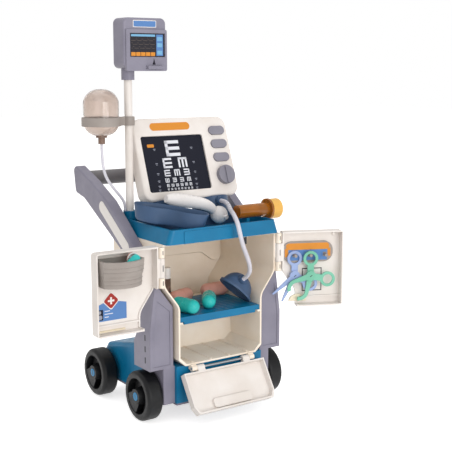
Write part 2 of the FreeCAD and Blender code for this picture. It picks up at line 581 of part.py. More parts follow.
def make_wheel(label, side, depth):
    """Build a dished wheel that turns on the axle."""
    body = new_body(label)
    bore = "axle_r + axle_fit"
    face = "wheel_w + hub_out"
    revolve(body, [(bore, "0"), ("wheel_r", "0"), ("wheel_r", "wheel_w"), ("rim_r", "wheel_w"),
                   ("rim_r - dish_draft", "wheel_w - dish"), ("hub_r + dish_draft", "wheel_w - dish"),
                   ("hub_r", face), ("cap_r", face), ("cap_r", f"{face} - cap_seat"),
                   (bore, f"{face} - cap_seat")])
    rim = size("wheel_r")
    fillet(body, "shoulder_r", lambda edge: hasattr(edge.Curve, "Radius") and near(edge.Curve.Radius, rim))
    inner = point(f"{side} * (wheel_out - wheel_w)", f"front_y + {depth}", "wheel_r")
    place(body, FreeCAD.Placement(inner, FreeCAD.Rotation(Y_AXIS, side * 90)))
    return body


def make_axle_caps():
    """Build the four caps pressed on the axle ends."""
    caps = []
    for side in (-1, 1):
        for depth in ("front_axle", "rear_axle"):
            cap = doc.addObject("Part::Cylinder", "axle_cap")
            cap.setExpression("Radius", bound("cap_r - cap_gap"))
            cap.setExpression("Height", bound("cap_seat"))
            start = point(f"{side} * (wheel_out + hub_out - cap_seat + cap_gap)", f"front_y + {depth}", "wheel_r")
            cap.Placement = FreeCAD.Placement(start, FreeCAD.Rotation(Y_AXIS, side * 90))
            caps.append(cap)
    group = doc.addObject("Part::Compound", "axle_caps")
    group.Label = "axle_caps"
    group.Links = caps
    NODES.append(group)
    return group


# Drip pole

def make_pole():
    """Build the hollow drip pole."""
    body = new_body("drip_pole")
    pad(body, "XY", "cab_top + tray_floor_t", "pole_top - cab_top - tray_floor_t", ("pole_x", "pole_d", "pole_r"))
    pocket(body, "XY", "cab_top + tray_floor_t", "pole_top", ("pole_x", "pole_d", "pole_bore"))
    return body


def make_bottle_ring():
    """Build the ring that holds the drip bottle, with its strut and the clip round the pole."""
    body = new_body("bottle_ring")
    pad(body, "XY", "ring_low", "ring_h", ("bottle_x", "pole_d", "bottle_r + ring_fit + ring_t"))
    pad(body, "XY", "ring_low", "ring_h",
        rectangle("bottle_x", "pole_d - strut_w / 2", "pole_x", "pole_d + strut_w / 2"))
    pad(body, "XY", "ring_low", "ring_h", ("pole_x", "pole_d", "clip_r"))
    pocket(body, "XY", "ring_low - overrun", "ring_h + 2 * overrun",
           ("bottle_x", "pole_d", "bottle_r + ring_fit"))
    pocket(body, "XY", "ring_low - overrun", "ring_h + 2 * overrun", ("pole_x", "pole_d", "pole_r"))
    return body


def make_bottle():
    """Build the hollow drip bottle, neck down."""
    outline = []
    low, crown, shoulder = size("bottle_low"), size("bottle_side"), size("bottle_shoulder")
    flat = size("bottle_flat")
    belly_share, lift_share = 0.72, 0.3
    for inset in (0.0, size("bottle_wall")):
        neck, side, top = size("bottle_neck") - inset, size("bottle_r") - inset, size("bottle_top") - inset
        belly = V(neck + belly_share * (side - neck), 0, low + lift_share * (shoulder - low))
        lower = Part.Arc(V(neck, 0, low), belly, V(side, 0, shoulder))
        reach, rise = side - flat, top - crown
        bend = (reach ** 2 + rise ** 2) / (2 * rise)
        half = math.atan2(reach, bend - rise) / 2
        crest = V(flat + bend * math.sin(half), 0, top - bend + bend * math.cos(half))
        upper = Part.Arc(V(side, 0, crown), crest, V(flat, 0, top))
        outline.append([lower.toShape(), Part.LineSegment(V(side, 0, shoulder), V(side, 0, crown)).toShape(),
                        upper.toShape(), Part.LineSegment(V(flat, 0, top), V(0, 0, top)).toShape()])
    skin = size("bottle_wall")
    neck, top = size("bottle_neck"), size("bottle_top")
    ends = [Part.LineSegment(V(0, 0, top), V(0, 0, top - skin)).toShape(),
            Part.LineSegment(V(neck - skin, 0, low), V(neck, 0, low)).toShape()]
    section = Part.Wire(outline[0] + ends[:1] + outline[1][::-1] + ends[1:])
    shape = Part.Face(section).revolve(V(), Z_AXIS, 360)
    spot = point("bottle_x", "front_y + pole_d", "0")
    return feature("drip_bottle", shape, FreeCAD.Placement(spot, FreeCAD.Rotation()))


def make_nozzle():
    """Build the brown drip nozzle that plugs the bottle's neck."""
    body = new_body("drip_nozzle")
    seat = "bottle_neck - bottle_wall"
    revolve(body, [("0", "nozzle_low"), ("nozzle_r", "nozzle_low"), ("nozzle_r", "bottle_low - wall"),
                   ("bottle_neck", "bottle_low - wall"), ("bottle_neck", "bottle_low"), (seat, "bottle_low"),
                   (seat, "bottle_low + wall / 2"), ("0", "bottle_low + wall / 2")])
    place(body, FreeCAD.Placement(point("bottle_x", "front_y + pole_d", "0"), FreeCAD.Rotation()))
    return body


def tube_along(label, points, radius):
    """Build a cord along straight runs that arcs join, each arc as large as its runs allow."""
    corner_share = 0.45
    edges = []
    last = points[0]
    radii = []
    for before, corner, after in zip(points, points[1:], points[2:]):
        first, second = corner - before, after - corner
        half_turn = first.getAngle(second) / 2
        reach = corner_share * min(first.Length, second.Length)
        radii.append(reach / math.tan(half_turn))
        start = corner - V(first).normalize() * reach
        end = corner + V(second).normalize() * reach
        bisector = V(second).normalize() - V(first).normalize()
        sagitta = radii[-1] * (1 / math.cos(half_turn) - 1)
        edges.append(Part.LineSegment(last, start).toShape())
        edges.append(Part.Arc(start, corner + bisector.normalize() * sagitta, end).toShape())
        last = end
    edges.append(Part.LineSegment(last, points[-1]).toShape())
    path = Part.Wire(edges)
    ring = Part.Wire([Part.Circle(points[0], points[1] - points[0], radius).toShape()])
    shape = path.makePipeShell([ring], True, False)
    expected = math.pi * radius ** 2 * path.Length
    print(label, "radii", [round(r, 1) for r in radii], "volume share", round(shape.Volume / expected, 4))
    return feature(label, shape)


def make_drip_tube():
    """Build the thin drip tube, from the nozzle down to the pole's boss."""
    x, d = size("bottle_x"), size("pole_d")
    end = point("pole_x - (pole_r + boss_r) / 2", "pole_d", "cab_top + tray_floor_t + boss_h")
    route = [V(x, d, size("nozzle_low")), V(x, d, 415), V(x + 1, d - 1, 396), V(x + 6, d - 2, 378),
             V(x + 17, d - 2, 363), V(x + 28, d - 1, 351), V(x + 36.5, d, 341), end + V(0, 0, 9), end]
    return tube_along("drip_tube", route, size("drip_r"))


# Monitor

def make_monitor():
    """Build the monitor's case with its pole sleeve, the front bezel and the side knob."""
    case = new_body("monitor_case")
    pad(case, "XZ", "mon_split", "mon_back - mon_split", ("mon_left", "mon_low", "mon_right", "mon_high", "mon_round"))
    fillet(case, "mon_edge", lies_at(1, "mon_back"))
    pocket(case, "XZ", "mon_split - overrun", "mon_back - mon_split - wall + overrun",
           ("mon_left + wall", "mon_low + wall", "mon_right - wall", "mon_high - wall", "mon_round - wall"))
    pad(case, "XY", "sleeve_low", "sleeve_top - sleeve_low", ("pole_x", "pole_d", "sleeve_r"))
    pocket(case, "XY", "sleeve_low - overrun", "pole_top - sleeve_low + overrun + gap",
           ("pole_x", "pole_d", "pole_r + pin_fit"))
    bezel = new_body("monitor_bezel")
    pad(bezel, "XZ", "mon_front", "mon_split - mon_front", ("mon_left", "mon_low", "mon_right", "mon_high", "mon_round"))
    fillet(bezel, "mon_edge", lies_at(1, "mon_front"))
    pad(bezel, "XZ", "mon_front - panel_t", "panel_t + wall",
        ("mon_left + panel_in", "mon_low - panel_drop", "mon_right", "mon_high - panel_top", "mon_edge"))
    pocket(bezel, "XZ", "mon_front - panel_t - overrun", "overrun + screen_deep",
           rectangle("mon_left + screen_left", "mon_low + screen_low", "mon_right - screen_right",
                     "mon_high - screen_high"))
    lip_low = "mon_low - panel_drop + wall"
    pad(bezel, "XZ", "mon_front - mon_lip_deep", "mon_lip_deep + wall",
        rectangle("mon_right - mon_notch_w - 2 * mon_round", lip_low, "mon_right - mon_round",
                  f"{lip_low} + mon_lip_h"))
    pocket(bezel, "XZ", "mon_front - mon_lip_deep + wall", "mon_lip_deep - wall - panel_t",
           rectangle("mon_right - mon_notch_w - mon_round", f"{lip_low} + wall", "mon_right - mon_round - wall",
                     f"{lip_low} + mon_lip_h + overrun"))
    notch = [("mon_left + notch_x - notch_half", "mon_low + notch_low"),
             ("mon_left + notch_x + notch_half", "mon_low + notch_low"),
             ("mon_left + notch_x", "mon_low + notch_high")]
    pocket(bezel, "XZ", "mon_front - panel_t - overrun", "mon_split - mon_front + panel_t + 2 * overrun", notch)
    pocket(case, "XZ", "mon_split - overrun", "mon_back - mon_split + 2 * overrun", notch)
    knob = new_body("monitor_knob")
    revolve(knob, [("0", "0"), ("stem_r", "0"), ("stem_r", "stem_len"), ("knob_cap_r", "stem_len"),
                   ("knob_cap_r", "stem_len + knob_cap_t"), ("0", "stem_len + knob_cap_t")])
    cap = size("knob_cap_r")
    fillet(knob, "knob_cap_t / 3", lambda edge: hasattr(edge.Curve, "Radius") and near(edge.Curve.Radius, cap))
    spot = point("mon_right", "front_y + (mon_split + mon_back) / 2", "mon_knob_z")
    place(knob, FreeCAD.Placement(spot, FreeCAD.Rotation(Y_AXIS, 90)))


# Chart viewer: built upright with its front face at depth zero, then leaned back

def make_viewer_front():
    """Build the viewer's front shell with its window, button holes and card guides."""
    body = new_body("viewer_front")
    pad(body, "XZ", "0", "view_front_t", ("-view_half", "0", "view_half", "view_h", "view_round"))
    fillet(body, "view_edge", lies_at(1, "0"))
    pocket(body, "XZ", "wall", "view_front_t",
           ("-(view_half - view_edge)", "view_edge", "view_half - view_edge", "view_h - view_edge",
            "view_round - view_edge"))
    pocket(body, "XZ", "-overrun", "2 * overrun + wall",
           ("win_x - win_half", "win_low", "win_x + win_half", "win_high", "view_edge"))
    hole = "button_r + button_gap"
    for i in range(3):
        z = f"button_top - {i} * button_pitch"
        reach = "(button_half - button_r)"
        pocket(body, "XZ", "-overrun", "2 * overrun + wall",
               rectangle(f"button_x - {reach}", f"{z} - ({hole})", f"button_x + {reach}", f"{z} + {hole}"))
        for end in (-1, 1):
            pocket(body, "XZ", "-overrun", "2 * overrun + wall", (f"button_x + {end} * {reach}", z, hole))
    pocket(body, "XZ", "-overrun", "2 * overrun + wall", ("button_x", "dial_z", "dial_shaft + pin_fit"))
    lip = "wall + card_t + 2 * card_gap"
    for side in (-1, 1):
        edge_x = f"win_x + {side} * (card_half + card_gap)"
        pad(body, "XY", "card_low - wall", "view_h - view_edge - card_low + wall - gap",
            [(edge_x, "wall / 2"), (edge_x, lip), (f"{edge_x} - {side} * card_lip", lip),
             (f"{edge_x} - {side} * card_lip", f"{lip} + wall / 2"), (f"{edge_x} + {side} * wall", f"{lip} + wall / 2"),
             (f"{edge_x} + {side} * wall", "wall / 2")])
    pad(body, "XZ", "wall / 2", "wall / 2 + card_t + 2 * card_gap",
        rectangle("win_x - card_half - wall", "card_low - wall", "win_x + card_half + wall", "card_low - card_gap"))
    pocket(body, "XZ", "wall", "card_t + 2 * card_gap",
           rectangle("win_x - card_half - card_gap", "view_h - 2 * view_edge", "win_x + card_half + card_gap",
                     "view_h + overrun"))
    place(body, viewer_placement())
    return body


def make_viewer_back():
    """Build the viewer's drawn-in rear shell."""
    body = new_body("viewer_back")
    pad(body, "XZ", "view_front_t", "view_back_t", ("-view_half", "0", "view_half", "view_h", "view_round"))
    doc.recompute()
    tip = body.Tip
    rim = [f"Edge{i}" for i, edge in enumerate(tip.Shape.Edges, start=1)
           if lies_at(1, "view_front_t + view_back_t")(edge)]
    bevel = body.newObject("PartDesign::Chamfer", "viewer_back_bevel")
    bevel.Base = (tip, rim)
    bevel.setExpression("Size", bound("2 * view_back_in"))
    pocket(body, "XZ", "view_front_t - overrun", "view_back_t - wall + overrun",
           ("-(view_half - 2 * view_back_in - wall)", "2 * view_back_in + wall",
            "view_half - 2 * view_back_in - wall", "view_h - 2 * view_back_in - wall", "view_edge"))
    place(body, viewer_placement())
    return body


def make_chart_card():
    """Build the chart card that drops into the viewer from above."""
    body = new_body("chart_card")
    pad(body, "XZ", "wall + card_gap", "card_t",
        rectangle("win_x - card_half", "card_low", "win_x + card_half", "view_h - card_top"))
    place(body, viewer_placement())
    return body


def make_viewer_button(index):
    """Build one oval push button with the lip that keeps it behind the face."""
    body = new_body(f"viewer_button_{index + 1}")
    z = f"button_top - {index} * button_pitch"
    reach = "(button_half - button_r)"
    deep = "button_out + wall + card_gap + button_lip_t"
    for start, length, radius in (("-button_out", deep, "button_r"),
                                  ("wall + card_gap", "button_lip_t", "(button_r + button_lip)")):
        pad(body, "XZ", start, length,
            rectangle(f"button_x - {reach}", f"{z} - {radius}", f"button_x + {reach}", f"{z} + {radius}"))
        for end in (-1, 1):
            pad(body, "XZ", start, length, (f"button_x + {end} * {reach}", z, radius))
    place(body, viewer_placement())
    return body


def make_viewer_dial():
    """Build the round dial with its pointer rib, shaft and collar."""
    body = new_body("viewer_dial")
    revolve(body, [("0", "-(dial_h + gap)"), ("dial_r", "-(dial_h + gap)"), ("dial_r", "-gap"), ("dial_shaft", "-gap"),
                   ("dial_shaft", "wall + card_gap"), ("dial_collar", "wall + card_gap"),
                   ("dial_collar", "wall + card_gap + button_lip_t"), ("0", "wall + card_gap + button_lip_t")])
    pad(body, "XY", "-(dial_h + gap + dial_mark)", "dial_mark + wall",
        rectangle("-dial_mark", "-dial_r + wall", "dial_mark", "dial_r - gap"))
    stand_up = FreeCAD.Placement(point("button_x", "0", "dial_z"), FreeCAD.Rotation(X_AXIS, -90))
    place(body, viewer_placement().multiply(stand_up))
    return body


def make_stand():
    """Build the slate stand: a plinth with two tapered drums cut to the viewer's slope."""
    floor = size("cab_top + tray_floor_t")
    right = "tray_half_top - tray_wall - stand_gap"
    plinth = Part.makeBox(size(f"{right} - stand_left"), size("stand_back - stand_front"), size("plinth_h"),
                          point("stand_left", "stand_front", "cab_top + tray_floor_t"))
    rise = size("view_z") + size("view_front_t") - floor
    drum_d = size("(stand_front + stand_back) / 2")
    shape = plinth
    for x in (f"{right} - drum_r - drum_draft", "drum_left_x"):
        drum = Part.makeCone(size("drum_r + drum_draft"), size("drum_r"), rise, V(size(x), drum_d, floor))
        shape = shape.fuse(drum)
    port = Part.makeCylinder(size("port_r"), size("port_len") + size("drum_r"),
                             point("port_x", "stand_front - port_len", "port_z"), Y_AXIS)
    shape = shape.fuse(port).removeSplitter()
    above = Part.makeBox(size("4 * view_half"), size("4 * view_half"), size("view_h"),
                         point("-2 * view_half", "-2 * view_half", "0"))
    above.Placement = viewer_placement()
    above.translate(point("0", "-front_y", "0"))
    return feature("viewer_stand", shape.cut(above))


# Doors

def door_outline(side, inset):
    """Return a closed door's front outline, drawn in by an inset."""
    edge = f"{side} * (hinge_x - door_edge - {inset})"
    return [(f"{side} * (door_meet + {inset})", f"door_low + {inset}"),
            (f"{side} * (cab_low - gap - {inset})", f"door_low + {inset}"),
            (f"{side} * (cab_low - gap - {inset})", "waist_low"), (edge, "waist_high"),
            (edge, f"door_high - {inset}"), (f"{side} * (door_meet + {inset})", f"door_high - {inset}")]


def make_door(side, label):
    """Build a dished cabinet door with its hinge knuckle and inner ledge."""
    body = new_body(label)
    outer = "-(door_deep + gap)"
    pad(body, "XZ", outer, "door_deep", door_outline(side, "0"))
    waist = [(f"{side} * (hinge_x - door_edge)", "waist_high"), (f"{side} * (cab_low - gap)", "waist_low")]
    fillet(body, "waist_r", runs_along(1, *waist))
    free = [(f"{side} * door_meet", z) for z in ("door_low", "door_high")]
    fillet(body, "door_round", runs_along(1, *free))
    fillet(body, "edge_r", lies_at(1, outer))
    pocket(body, "XZ", f"{outer} + door_skin", "door_deep + overrun", door_outline(side, "door_skin"))
    inner = [(f"{side} * (hinge_x - door_edge - door_skin)", "waist_high"),
             (f"{side} * (cab_low - gap - door_skin)", "waist_low")]
    fillet(body, "waist_r", runs_along(1, *inner))
    low_edge = "waist_low - waist_r"
    pocket(body, "XZ", f"{outer} + waist_rim", "door_deep",
           [(f"{side} * (cab_low - 4 * door_skin)", low_edge), (f"{side} * (cab_low + overrun)", low_edge),
            (f"{side} * (cab_low + overrun)", "waist_low - overrun"),
            (f"{side} * (hinge_x - door_edge + overrun)", "waist_high"),
            (f"{side} * (hinge_x - door_edge - 4 * door_skin)", "waist_high"),
            (f"{side} * (cab_low - 4 * door_skin)", "waist_low")])
    pad(body, "XZ", f"{outer} + door_skin / 2", "ledge_deep",
        rectangle(f"{side} * (door_meet + door_skin / 2)", "ledge_z", f"{side} * (cab_low - door_skin)",
                  "ledge_z + ledge_t"))
    low, high = "hinge_mid_low + gap", "hinge_mid_high - hinge_mid_low - 2 * gap"
    pad(body, "XY", low, high,
        rectangle(f"{side} * (hinge_x - door_edge - door_skin / 2)", "hinge_d - knuckle_r",
                  f"{side} * hinge_x", "-gap"))
    pad(body, "XY", low, high, (f"{side} * hinge_x", "hinge_d", "knuckle_r"))
    pocket(body, "XY", "hinge_low", "hinge_high - hinge_low", (f"{side} * hinge_x", "hinge_d", "pin_r + pin_fit"))
    place(body, door_placement(side))
    return body


def make_door_pins():
    """Build the two door hinge pins."""
    pins = []
    for side in (-1, 1):
        pin = doc.addObject("Part::Cylinder", "door_pin")
        pin.setExpression("Radius", bound("pin_r"))
        pin.setExpression("Height", bound("hinge_high - hinge_low"))
        pin.Placement = FreeCAD.Placement(point(f"{side} * hinge_x", "front_y + hinge_d", "hinge_low"),
                                          FreeCAD.Rotation())
        pins.append(pin)
    group = doc.addObject("Part::Compound", "door_pins")
    group.Label = "door_pins"
    group.Links = pins
    NODES.append(group)
    return group


BASKET_FACE = "-(door_deep + gap) + door_skin"


def basket_wire(inset, draft, z):
    """Return the basket's bow-fronted plan at a height."""
    near_d = size(BASKET_FACE) + inset
    left, right = size("-(hinge_x - basket_in)") + inset, size("-(hinge_x - basket_out)") - inset
    far_d = size(f"{BASKET_FACE} + basket_deep") - inset - draft
    shoulder_share, shoulder_in = 0.62, draft / 2
    side_d = near_d + shoulder_share * (far_d - near_d)
    corners = [V(left + shoulder_in, side_d, z), V(left + shoulder_in, near_d, z), V(right - shoulder_in, near_d, z),
               V(right - shoulder_in, side_d, z)]
    edges = [Part.LineSegment(p, q).toShape() for p, q in zip(corners, corners[1:])]
    edges.append(Part.Arc(corners[3], V((left + right) / 2, far_d, z), corners[0]).toShape())
    return Part.Wire(edges)


def make_basket():
    """Build the open two-tier basket on the left door's inner side."""
    low, middle, high = size("basket_low"), size("tier_z"), size("basket_high")
    draft, step, skin = size("basket_draft"), size("tier_step"), size("basket_wall")
    lower = Part.makeLoft([basket_wire(0, draft, low), basket_wire(0, draft / 2 + step, middle)], True)
    upper = Part.makeLoft([basket_wire(0, draft / 2, middle), basket_wire(0, 0, high)], True)
    hollow = Part.makeLoft([basket_wire(skin, draft + step, low + skin), basket_wire(skin, step, high + skin)], True)
    return feature("door_basket", lower.fuse(upper).cut(hollow).removeSplitter(), door_placement(-1))


def make_basket_tools():
    """Build the dental mirror and the probe that stand in the basket, in front of the door's rim."""
    foot_z = "basket_low + basket_wall + gap"
    rod, head = size("basket_wall"), size("mirror_r")
    tall = size("door_high - basket_low - 3 * basket_wall")
    mirror = Part.makeCylinder(rod, tall - head)
    disc_t = size("basket_wall")
    mirror = mirror.fuse(Part.makeCylinder(head, disc_t, V(0, -disc_t / 2, tall - head), Y_AXIS)).removeSplitter()
    spot = point("-(hinge_x - basket_in - 2 * mirror_r)", f"{BASKET_FACE} + rim_room", f"{foot_z} + wall / 2")
    lean = FreeCAD.Placement(spot, FreeCAD.Rotation(Y_AXIS, size("mirror_lean")))
    feature("dental_mirror", mirror, door_placement(-1).multiply(lean))
    grip_r, reach = size("grip_r"), size("grip_len")
    probe = Part.makeCylinder(grip_r, reach)
    probe = probe.fuse([Part.makeSphere(grip_r), Part.makeSphere(grip_r, V(0, 0, reach))]).removeSplitter()
    spot = point("-(hinge_x - basket_out + 2 * basket_round)", f"{BASKET_FACE} + tool_room", f"{foot_z} + grip_lift")
    lean = FreeCAD.Placement(spot, FreeCAD.Rotation(Y_AXIS, size("probe_lean")))
    feature("toy_probe", probe, door_placement(-1).multiply(lean))


# Right door's tools

HANGER_FACE = "-(door_deep + gap) + door_skin"


def make_hanger():
    """Build the stadium hanger panel with its three headed pegs."""
    body = new_body("tool_hanger")
    right, left = "hinge_x - hanger_in", "hinge_x - hanger_out"
    pad(body, "XZ", HANGER_FACE, "hanger_t", rectangle(left, "hanger_low", right, "hanger_high"))
    corners = [(x, z) for x in (left, right) for z in ("hanger_low", "hanger_high")]
    fillet(body, "hanger_round", runs_along(1, *corners))
    pegs = [(f"hinge_x - peg_first - {i} * peg_pitch", "peg_z") for i in range(3)]
    pad(body, "XZ", HANGER_FACE, "hanger_t + peg_len", *[(x, z, "peg_r") for x, z in pegs])
    place(body, door_placement(1))
    return body


def rounded_bar(start, end, width_start, width_end, thick, level):
    """Return a flat bar with round ends between two places of the door plane."""
    along = (end - start).normalize()
    across = V(-along.z, 0, along.x)
    a, b = start + across * width_start, end + across * width_end
    c, d = end - across * width_end, start - across * width_start
    edges = [Part.LineSegment(a, b).toShape(), Part.Arc(b, end + along * width_end, c).toShape(),
             Part.LineSegment(c, d).toShape(), Part.Arc(d, start - along * width_start, a).toShape()]
    bar = Part.Face(Part.Wire(edges)).extrude(V(0, thick, 0))
    bar.translate(V(0, level, 0))
    return bar


def disc(centre, radius, thick, level):
    """Return a flat disc in the door plane."""
    return Part.makeCylinder(radius, thick, V(centre.x, level, centre.z), Y_AXIS)


def make_tool_half(label, loop, pivot, tip, point_w, level, bend, rivet):
    """Build one half of a pair of scissors or forceps: loop, shank and blade in one flat piece."""
    thick = size("tool_t")
    half = size("shank_w / 2")
    shape = disc(loop, size("loop_r"), thick, level)
    shape = shape.fuse(rounded_bar(loop, pivot, half, half, thick, level))
    shape = shape.fuse(disc(pivot, size("pivot_r"), thick, level))
    shape = shape.fuse(rounded_bar(pivot, tip, half, point_w / 2, thick, level))
    if bend:
        shape = shape.fuse(hooked_tip(pivot, tip, point_w, bend, thick, level))
    shape = shape.cut(disc(loop, size("loop_hole"), thick, level))
    if rivet:
        shape = shape.fuse(disc(pivot, size("rivet_r"), 2 * thick + size("tool_gap"), level))
    else:
        shape = shape.cut(disc(pivot, size("rivet_r + rivet_fit"), thick, level))
    return feature(label, shape.removeSplitter(), door_placement(1))


def hooked_tip(pivot, tip, point_w, bend, thick, level):
    """Return the curved end of a forceps blade, a quarter ring that follows the shank."""
    along = (tip - pivot).normalize()
    across = V(-along.z, 0, along.x) * bend
    middle, half = size("hook_r"), point_w / 2
    centre = tip + across * middle
    faces = []
    for radius in (middle + half, middle - half):
        start = centre - across * radius
        bend = centre + (along - across) * (radius / math.sqrt(2))
        end = centre + along * radius
        faces.append((start, bend, end))
    (a, b, c), (d, e, f) = faces
    edges = [Part.Arc(a, b, c).toShape(), Part.LineSegment(c, f).toShape(), Part.Arc(f, e, d).toShape(),
             Part.LineSegment(d, a).toShape()]
    hook = Part.Face(Part.Wire(edges)).extrude(V(0, thick, 0))
    hook.translate(V(0, level, 0))
    return hook


def make_hung_tools():
    """Build the scissors on the first peg and the forceps on the second."""
    thick, slack = size("tool_t"), size("tool_gap")
    level = size(HANGER_FACE) + size("hanger_t") + slack
    peg = size("peg_r")
    hole = size("loop_hole")
    names = (("scissors", 0, "scissor", (0, 0)), ("forceps", 1, "forceps", (1, -1)))
    for name, index, stem, bends in names:
        first = size(f"hinge_x - peg_first - {index} * peg_pitch")
        hung = V(first, 0, size("peg_z") + peg - hole)
        reach, blade = size(f"{stem}_reach"), size(f"{stem}_blade")
        pivot = hung - V(0, 0, reach)
        for half, (bend, blade_turn) in enumerate(zip(bends, (f"{stem}_low", f"{stem}_high"))):
            loop = pivot + swung(size(f"{stem}_loop"), reach) if half else hung
            tip = pivot + swung(size(blade_turn), blade)
            height = level + (2 * index + half) * (thick + slack)
            suffix = "ab"[half]
            point_w = size(f"{stem}_tip")
            make_tool_half(f"{name}_{suffix}", loop, pivot, tip, point_w, height, bend, rivet=half == 0)


def swung(angle, reach):
    """Return a vector in the door plane, turned by an angle from straight down towards the hinge."""
    turn = math.radians(angle)
    return V(reach * math.sin(turn), 0, -reach * math.cos(turn))


# Flap

def make_flap():
    """Build the drop flap: a dished panel with a finger pull and two hinge ears."""
    body = new_body("flap")
    outer = "-(flap_deep + gap)"
    cut = [("flap_half", "flap_low"), ("flap_half", "flap_high - flap_cut"),
           ("flap_half - flap_cut / 2", "flap_high")]
    pad(body, "XZ", outer, "flap_deep", mirrored(cut))
    fillet(body, "edge_r", lies_at(1, outer))
    inset = [("flap_half - flap_skin", "flap_low + flap_skin"),
             ("flap_half - flap_skin", "flap_high - flap_cut - flap_skin / 2"),
             ("flap_half - flap_cut / 2 - flap_skin", "flap_high - flap_skin")]
    pocket(body, "XZ", f"{outer} + flap_skin", "flap_deep", mirrored(inset))
    pad(body, "XZ", f"{outer} + flap_skin / 2", "flap_skin / 2 + pull_rise",
        rectangle("-(pull_half + flap_skin)", "pull_z - pull_r - flap_skin",
                  "pull_half + flap_skin", "pull_z + pull_r + flap_skin"))
    pull = [(x, z) for x in ("-(pull_half + flap_skin)", "pull_half + flap_skin")
            for z in ("pull_z - pull_r - flap_skin", "pull_z + pull_r + flap_skin")]
    fillet(body, "pull_r", runs_along(1, *pull))
    pocket(body, "XZ", f"{outer} - overrun", "overrun + pull_rise",
           rectangle("-pull_half", "pull_z - pull_r", "pull_half", "pull_z + pull_r"))
    for side in (-1, 1):
        start = "flap_ear_in" if side > 0 else "-flap_ear_out"
        pad(body, "YZ", start, "flap_ear_out - flap_ear_in",
            rectangle("flap_d - flap_knuckle", "flap_z", "-gap", "flap_low + flap_skin / 2"))
        pad(body, "YZ", start, "flap_ear_out - flap_ear_in", ("flap_d", "flap_z", "flap_knuckle"))
    pocket(body, "YZ", "-flap_lug_out", "2 * flap_lug_out", ("flap_d", "flap_z", "pin_r + pin_fit"))
    place(body, flap_placement())
    return body


def make_flap_pin():
    """Build the flap's hinge pin."""
    body = new_body("flap_pin")
    pad(body, "YZ", "-flap_lug_out", "2 * flap_lug_out", ("flap_d", "flap_z", "pin_r"))
    return body


def make_catch():
    """Build the dark door catch that hangs under the cabinet's top."""
    body = new_body("door_catch")
    top = "cab_top - wall"
    pad(body, "YZ", "catch_x", "catch_w",
        [("catch_d", top), ("catch_d", f"{top} - catch_h"), ("catch_d + catch_deep / 2", f"{top} - catch_h"),
         ("catch_d + catch_deep", f"{top} - catch_h / 2"), ("catch_d + catch_deep", top)])
    return body


# Loose instruments

def kidney_wire(scale_long, scale_wide, z):
    """Return a bean outline at a height, a straight-sided stadium pressed in on one long side."""
    long, wide = scale_long / 2, scale_wide / 2
    end = long - wide
    bulge_share, dip_share = 1.06, 0.62
    top = Part.Arc(V(-end, wide, z), V(0, wide * bulge_share, z), V(end, wide, z))
    right = Part.Arc(V(end, wide, z), V(long, 0, z), V(end, -wide, z))
    dip = Part.Arc(V(end, -wide, z), V(0, -wide * dip_share, z), V(-end, -wide, z))
    left = Part.Arc(V(-end, -wide, z), V(-long, 0, z), V(-end, wide, z))
    return Part.Wire([top.toShape(), right.toShape(), dip.toShape(), left.toShape()])


def make_dish():
    """Build the open kidney dish that leans on the tray's left wall."""
    long, wide, tall, skin = size("dish_long"), size("dish_wide"), size("dish_h"), size("dish_wall")
    draft_share = 0.84
    outer = Part.makeLoft([kidney_wire(long * draft_share, wide * draft_share, 0), kidney_wire(long, wide, tall)], True)
    thin_long, thin_wide = long - 2 * skin, wide - 2 * skin
    inner = Part.makeLoft([kidney_wire(thin_long * draft_share, thin_wide * draft_share, skin),
                           kidney_wire(thin_long, thin_wide, tall)], True)
    spot = point("dish_x", "front_y + dish_d", "dish_z")
    turn = FreeCAD.Rotation(Z_AXIS, size("dish_turn")).multiply(FreeCAD.Rotation(Y_AXIS, size("dish_tilt")))
    return feature("kidney_dish", outer.cut(inner), FreeCAD.Placement(spot, turn))


def make_thermometer():
    """Build the ear thermometer: a swelling grip, a bent neck and a round head with a probe."""
    length, girth, drop = size("therm_len"), size("therm_r"), size("head_drop")
    grip_shares = ((0.0, 0.0, 0.55), (0.1, 0.05, 0.9), (0.35, 0.08, 1.0), (0.62, 0.0, 0.9), (0.82, -0.44, 0.75))
    rings = []
    for run_share, rise_share, girth_share in grip_shares:
        ring = Part.Circle(V(run_share * length, 0, rise_share * drop), X_AXIS, girth_share * girth)
        rings.append(Part.Wire([ring.toShape()]))
    grip = Part.makeLoft(rings, True)
    head_share = 0.94
    middle = V(head_share * length, 0, -drop)
    head = Part.makeSphere(size("head_r"), middle)
    probe_way = V(0.25, -0.95, -0.1)
    probe = Part.makeCone(size("probe_r"), size("probe_tip"), size("probe_len"), middle, probe_way)
    shape = grip.fuse([head, probe]).removeSplitter()
    spot = point("therm_x", "front_y + therm_d", "therm_z")
    return feature("ear_thermometer", shape,
                   FreeCAD.Placement(spot, FreeCAD.Rotation(Y_AXIS, size("therm_lean"))))


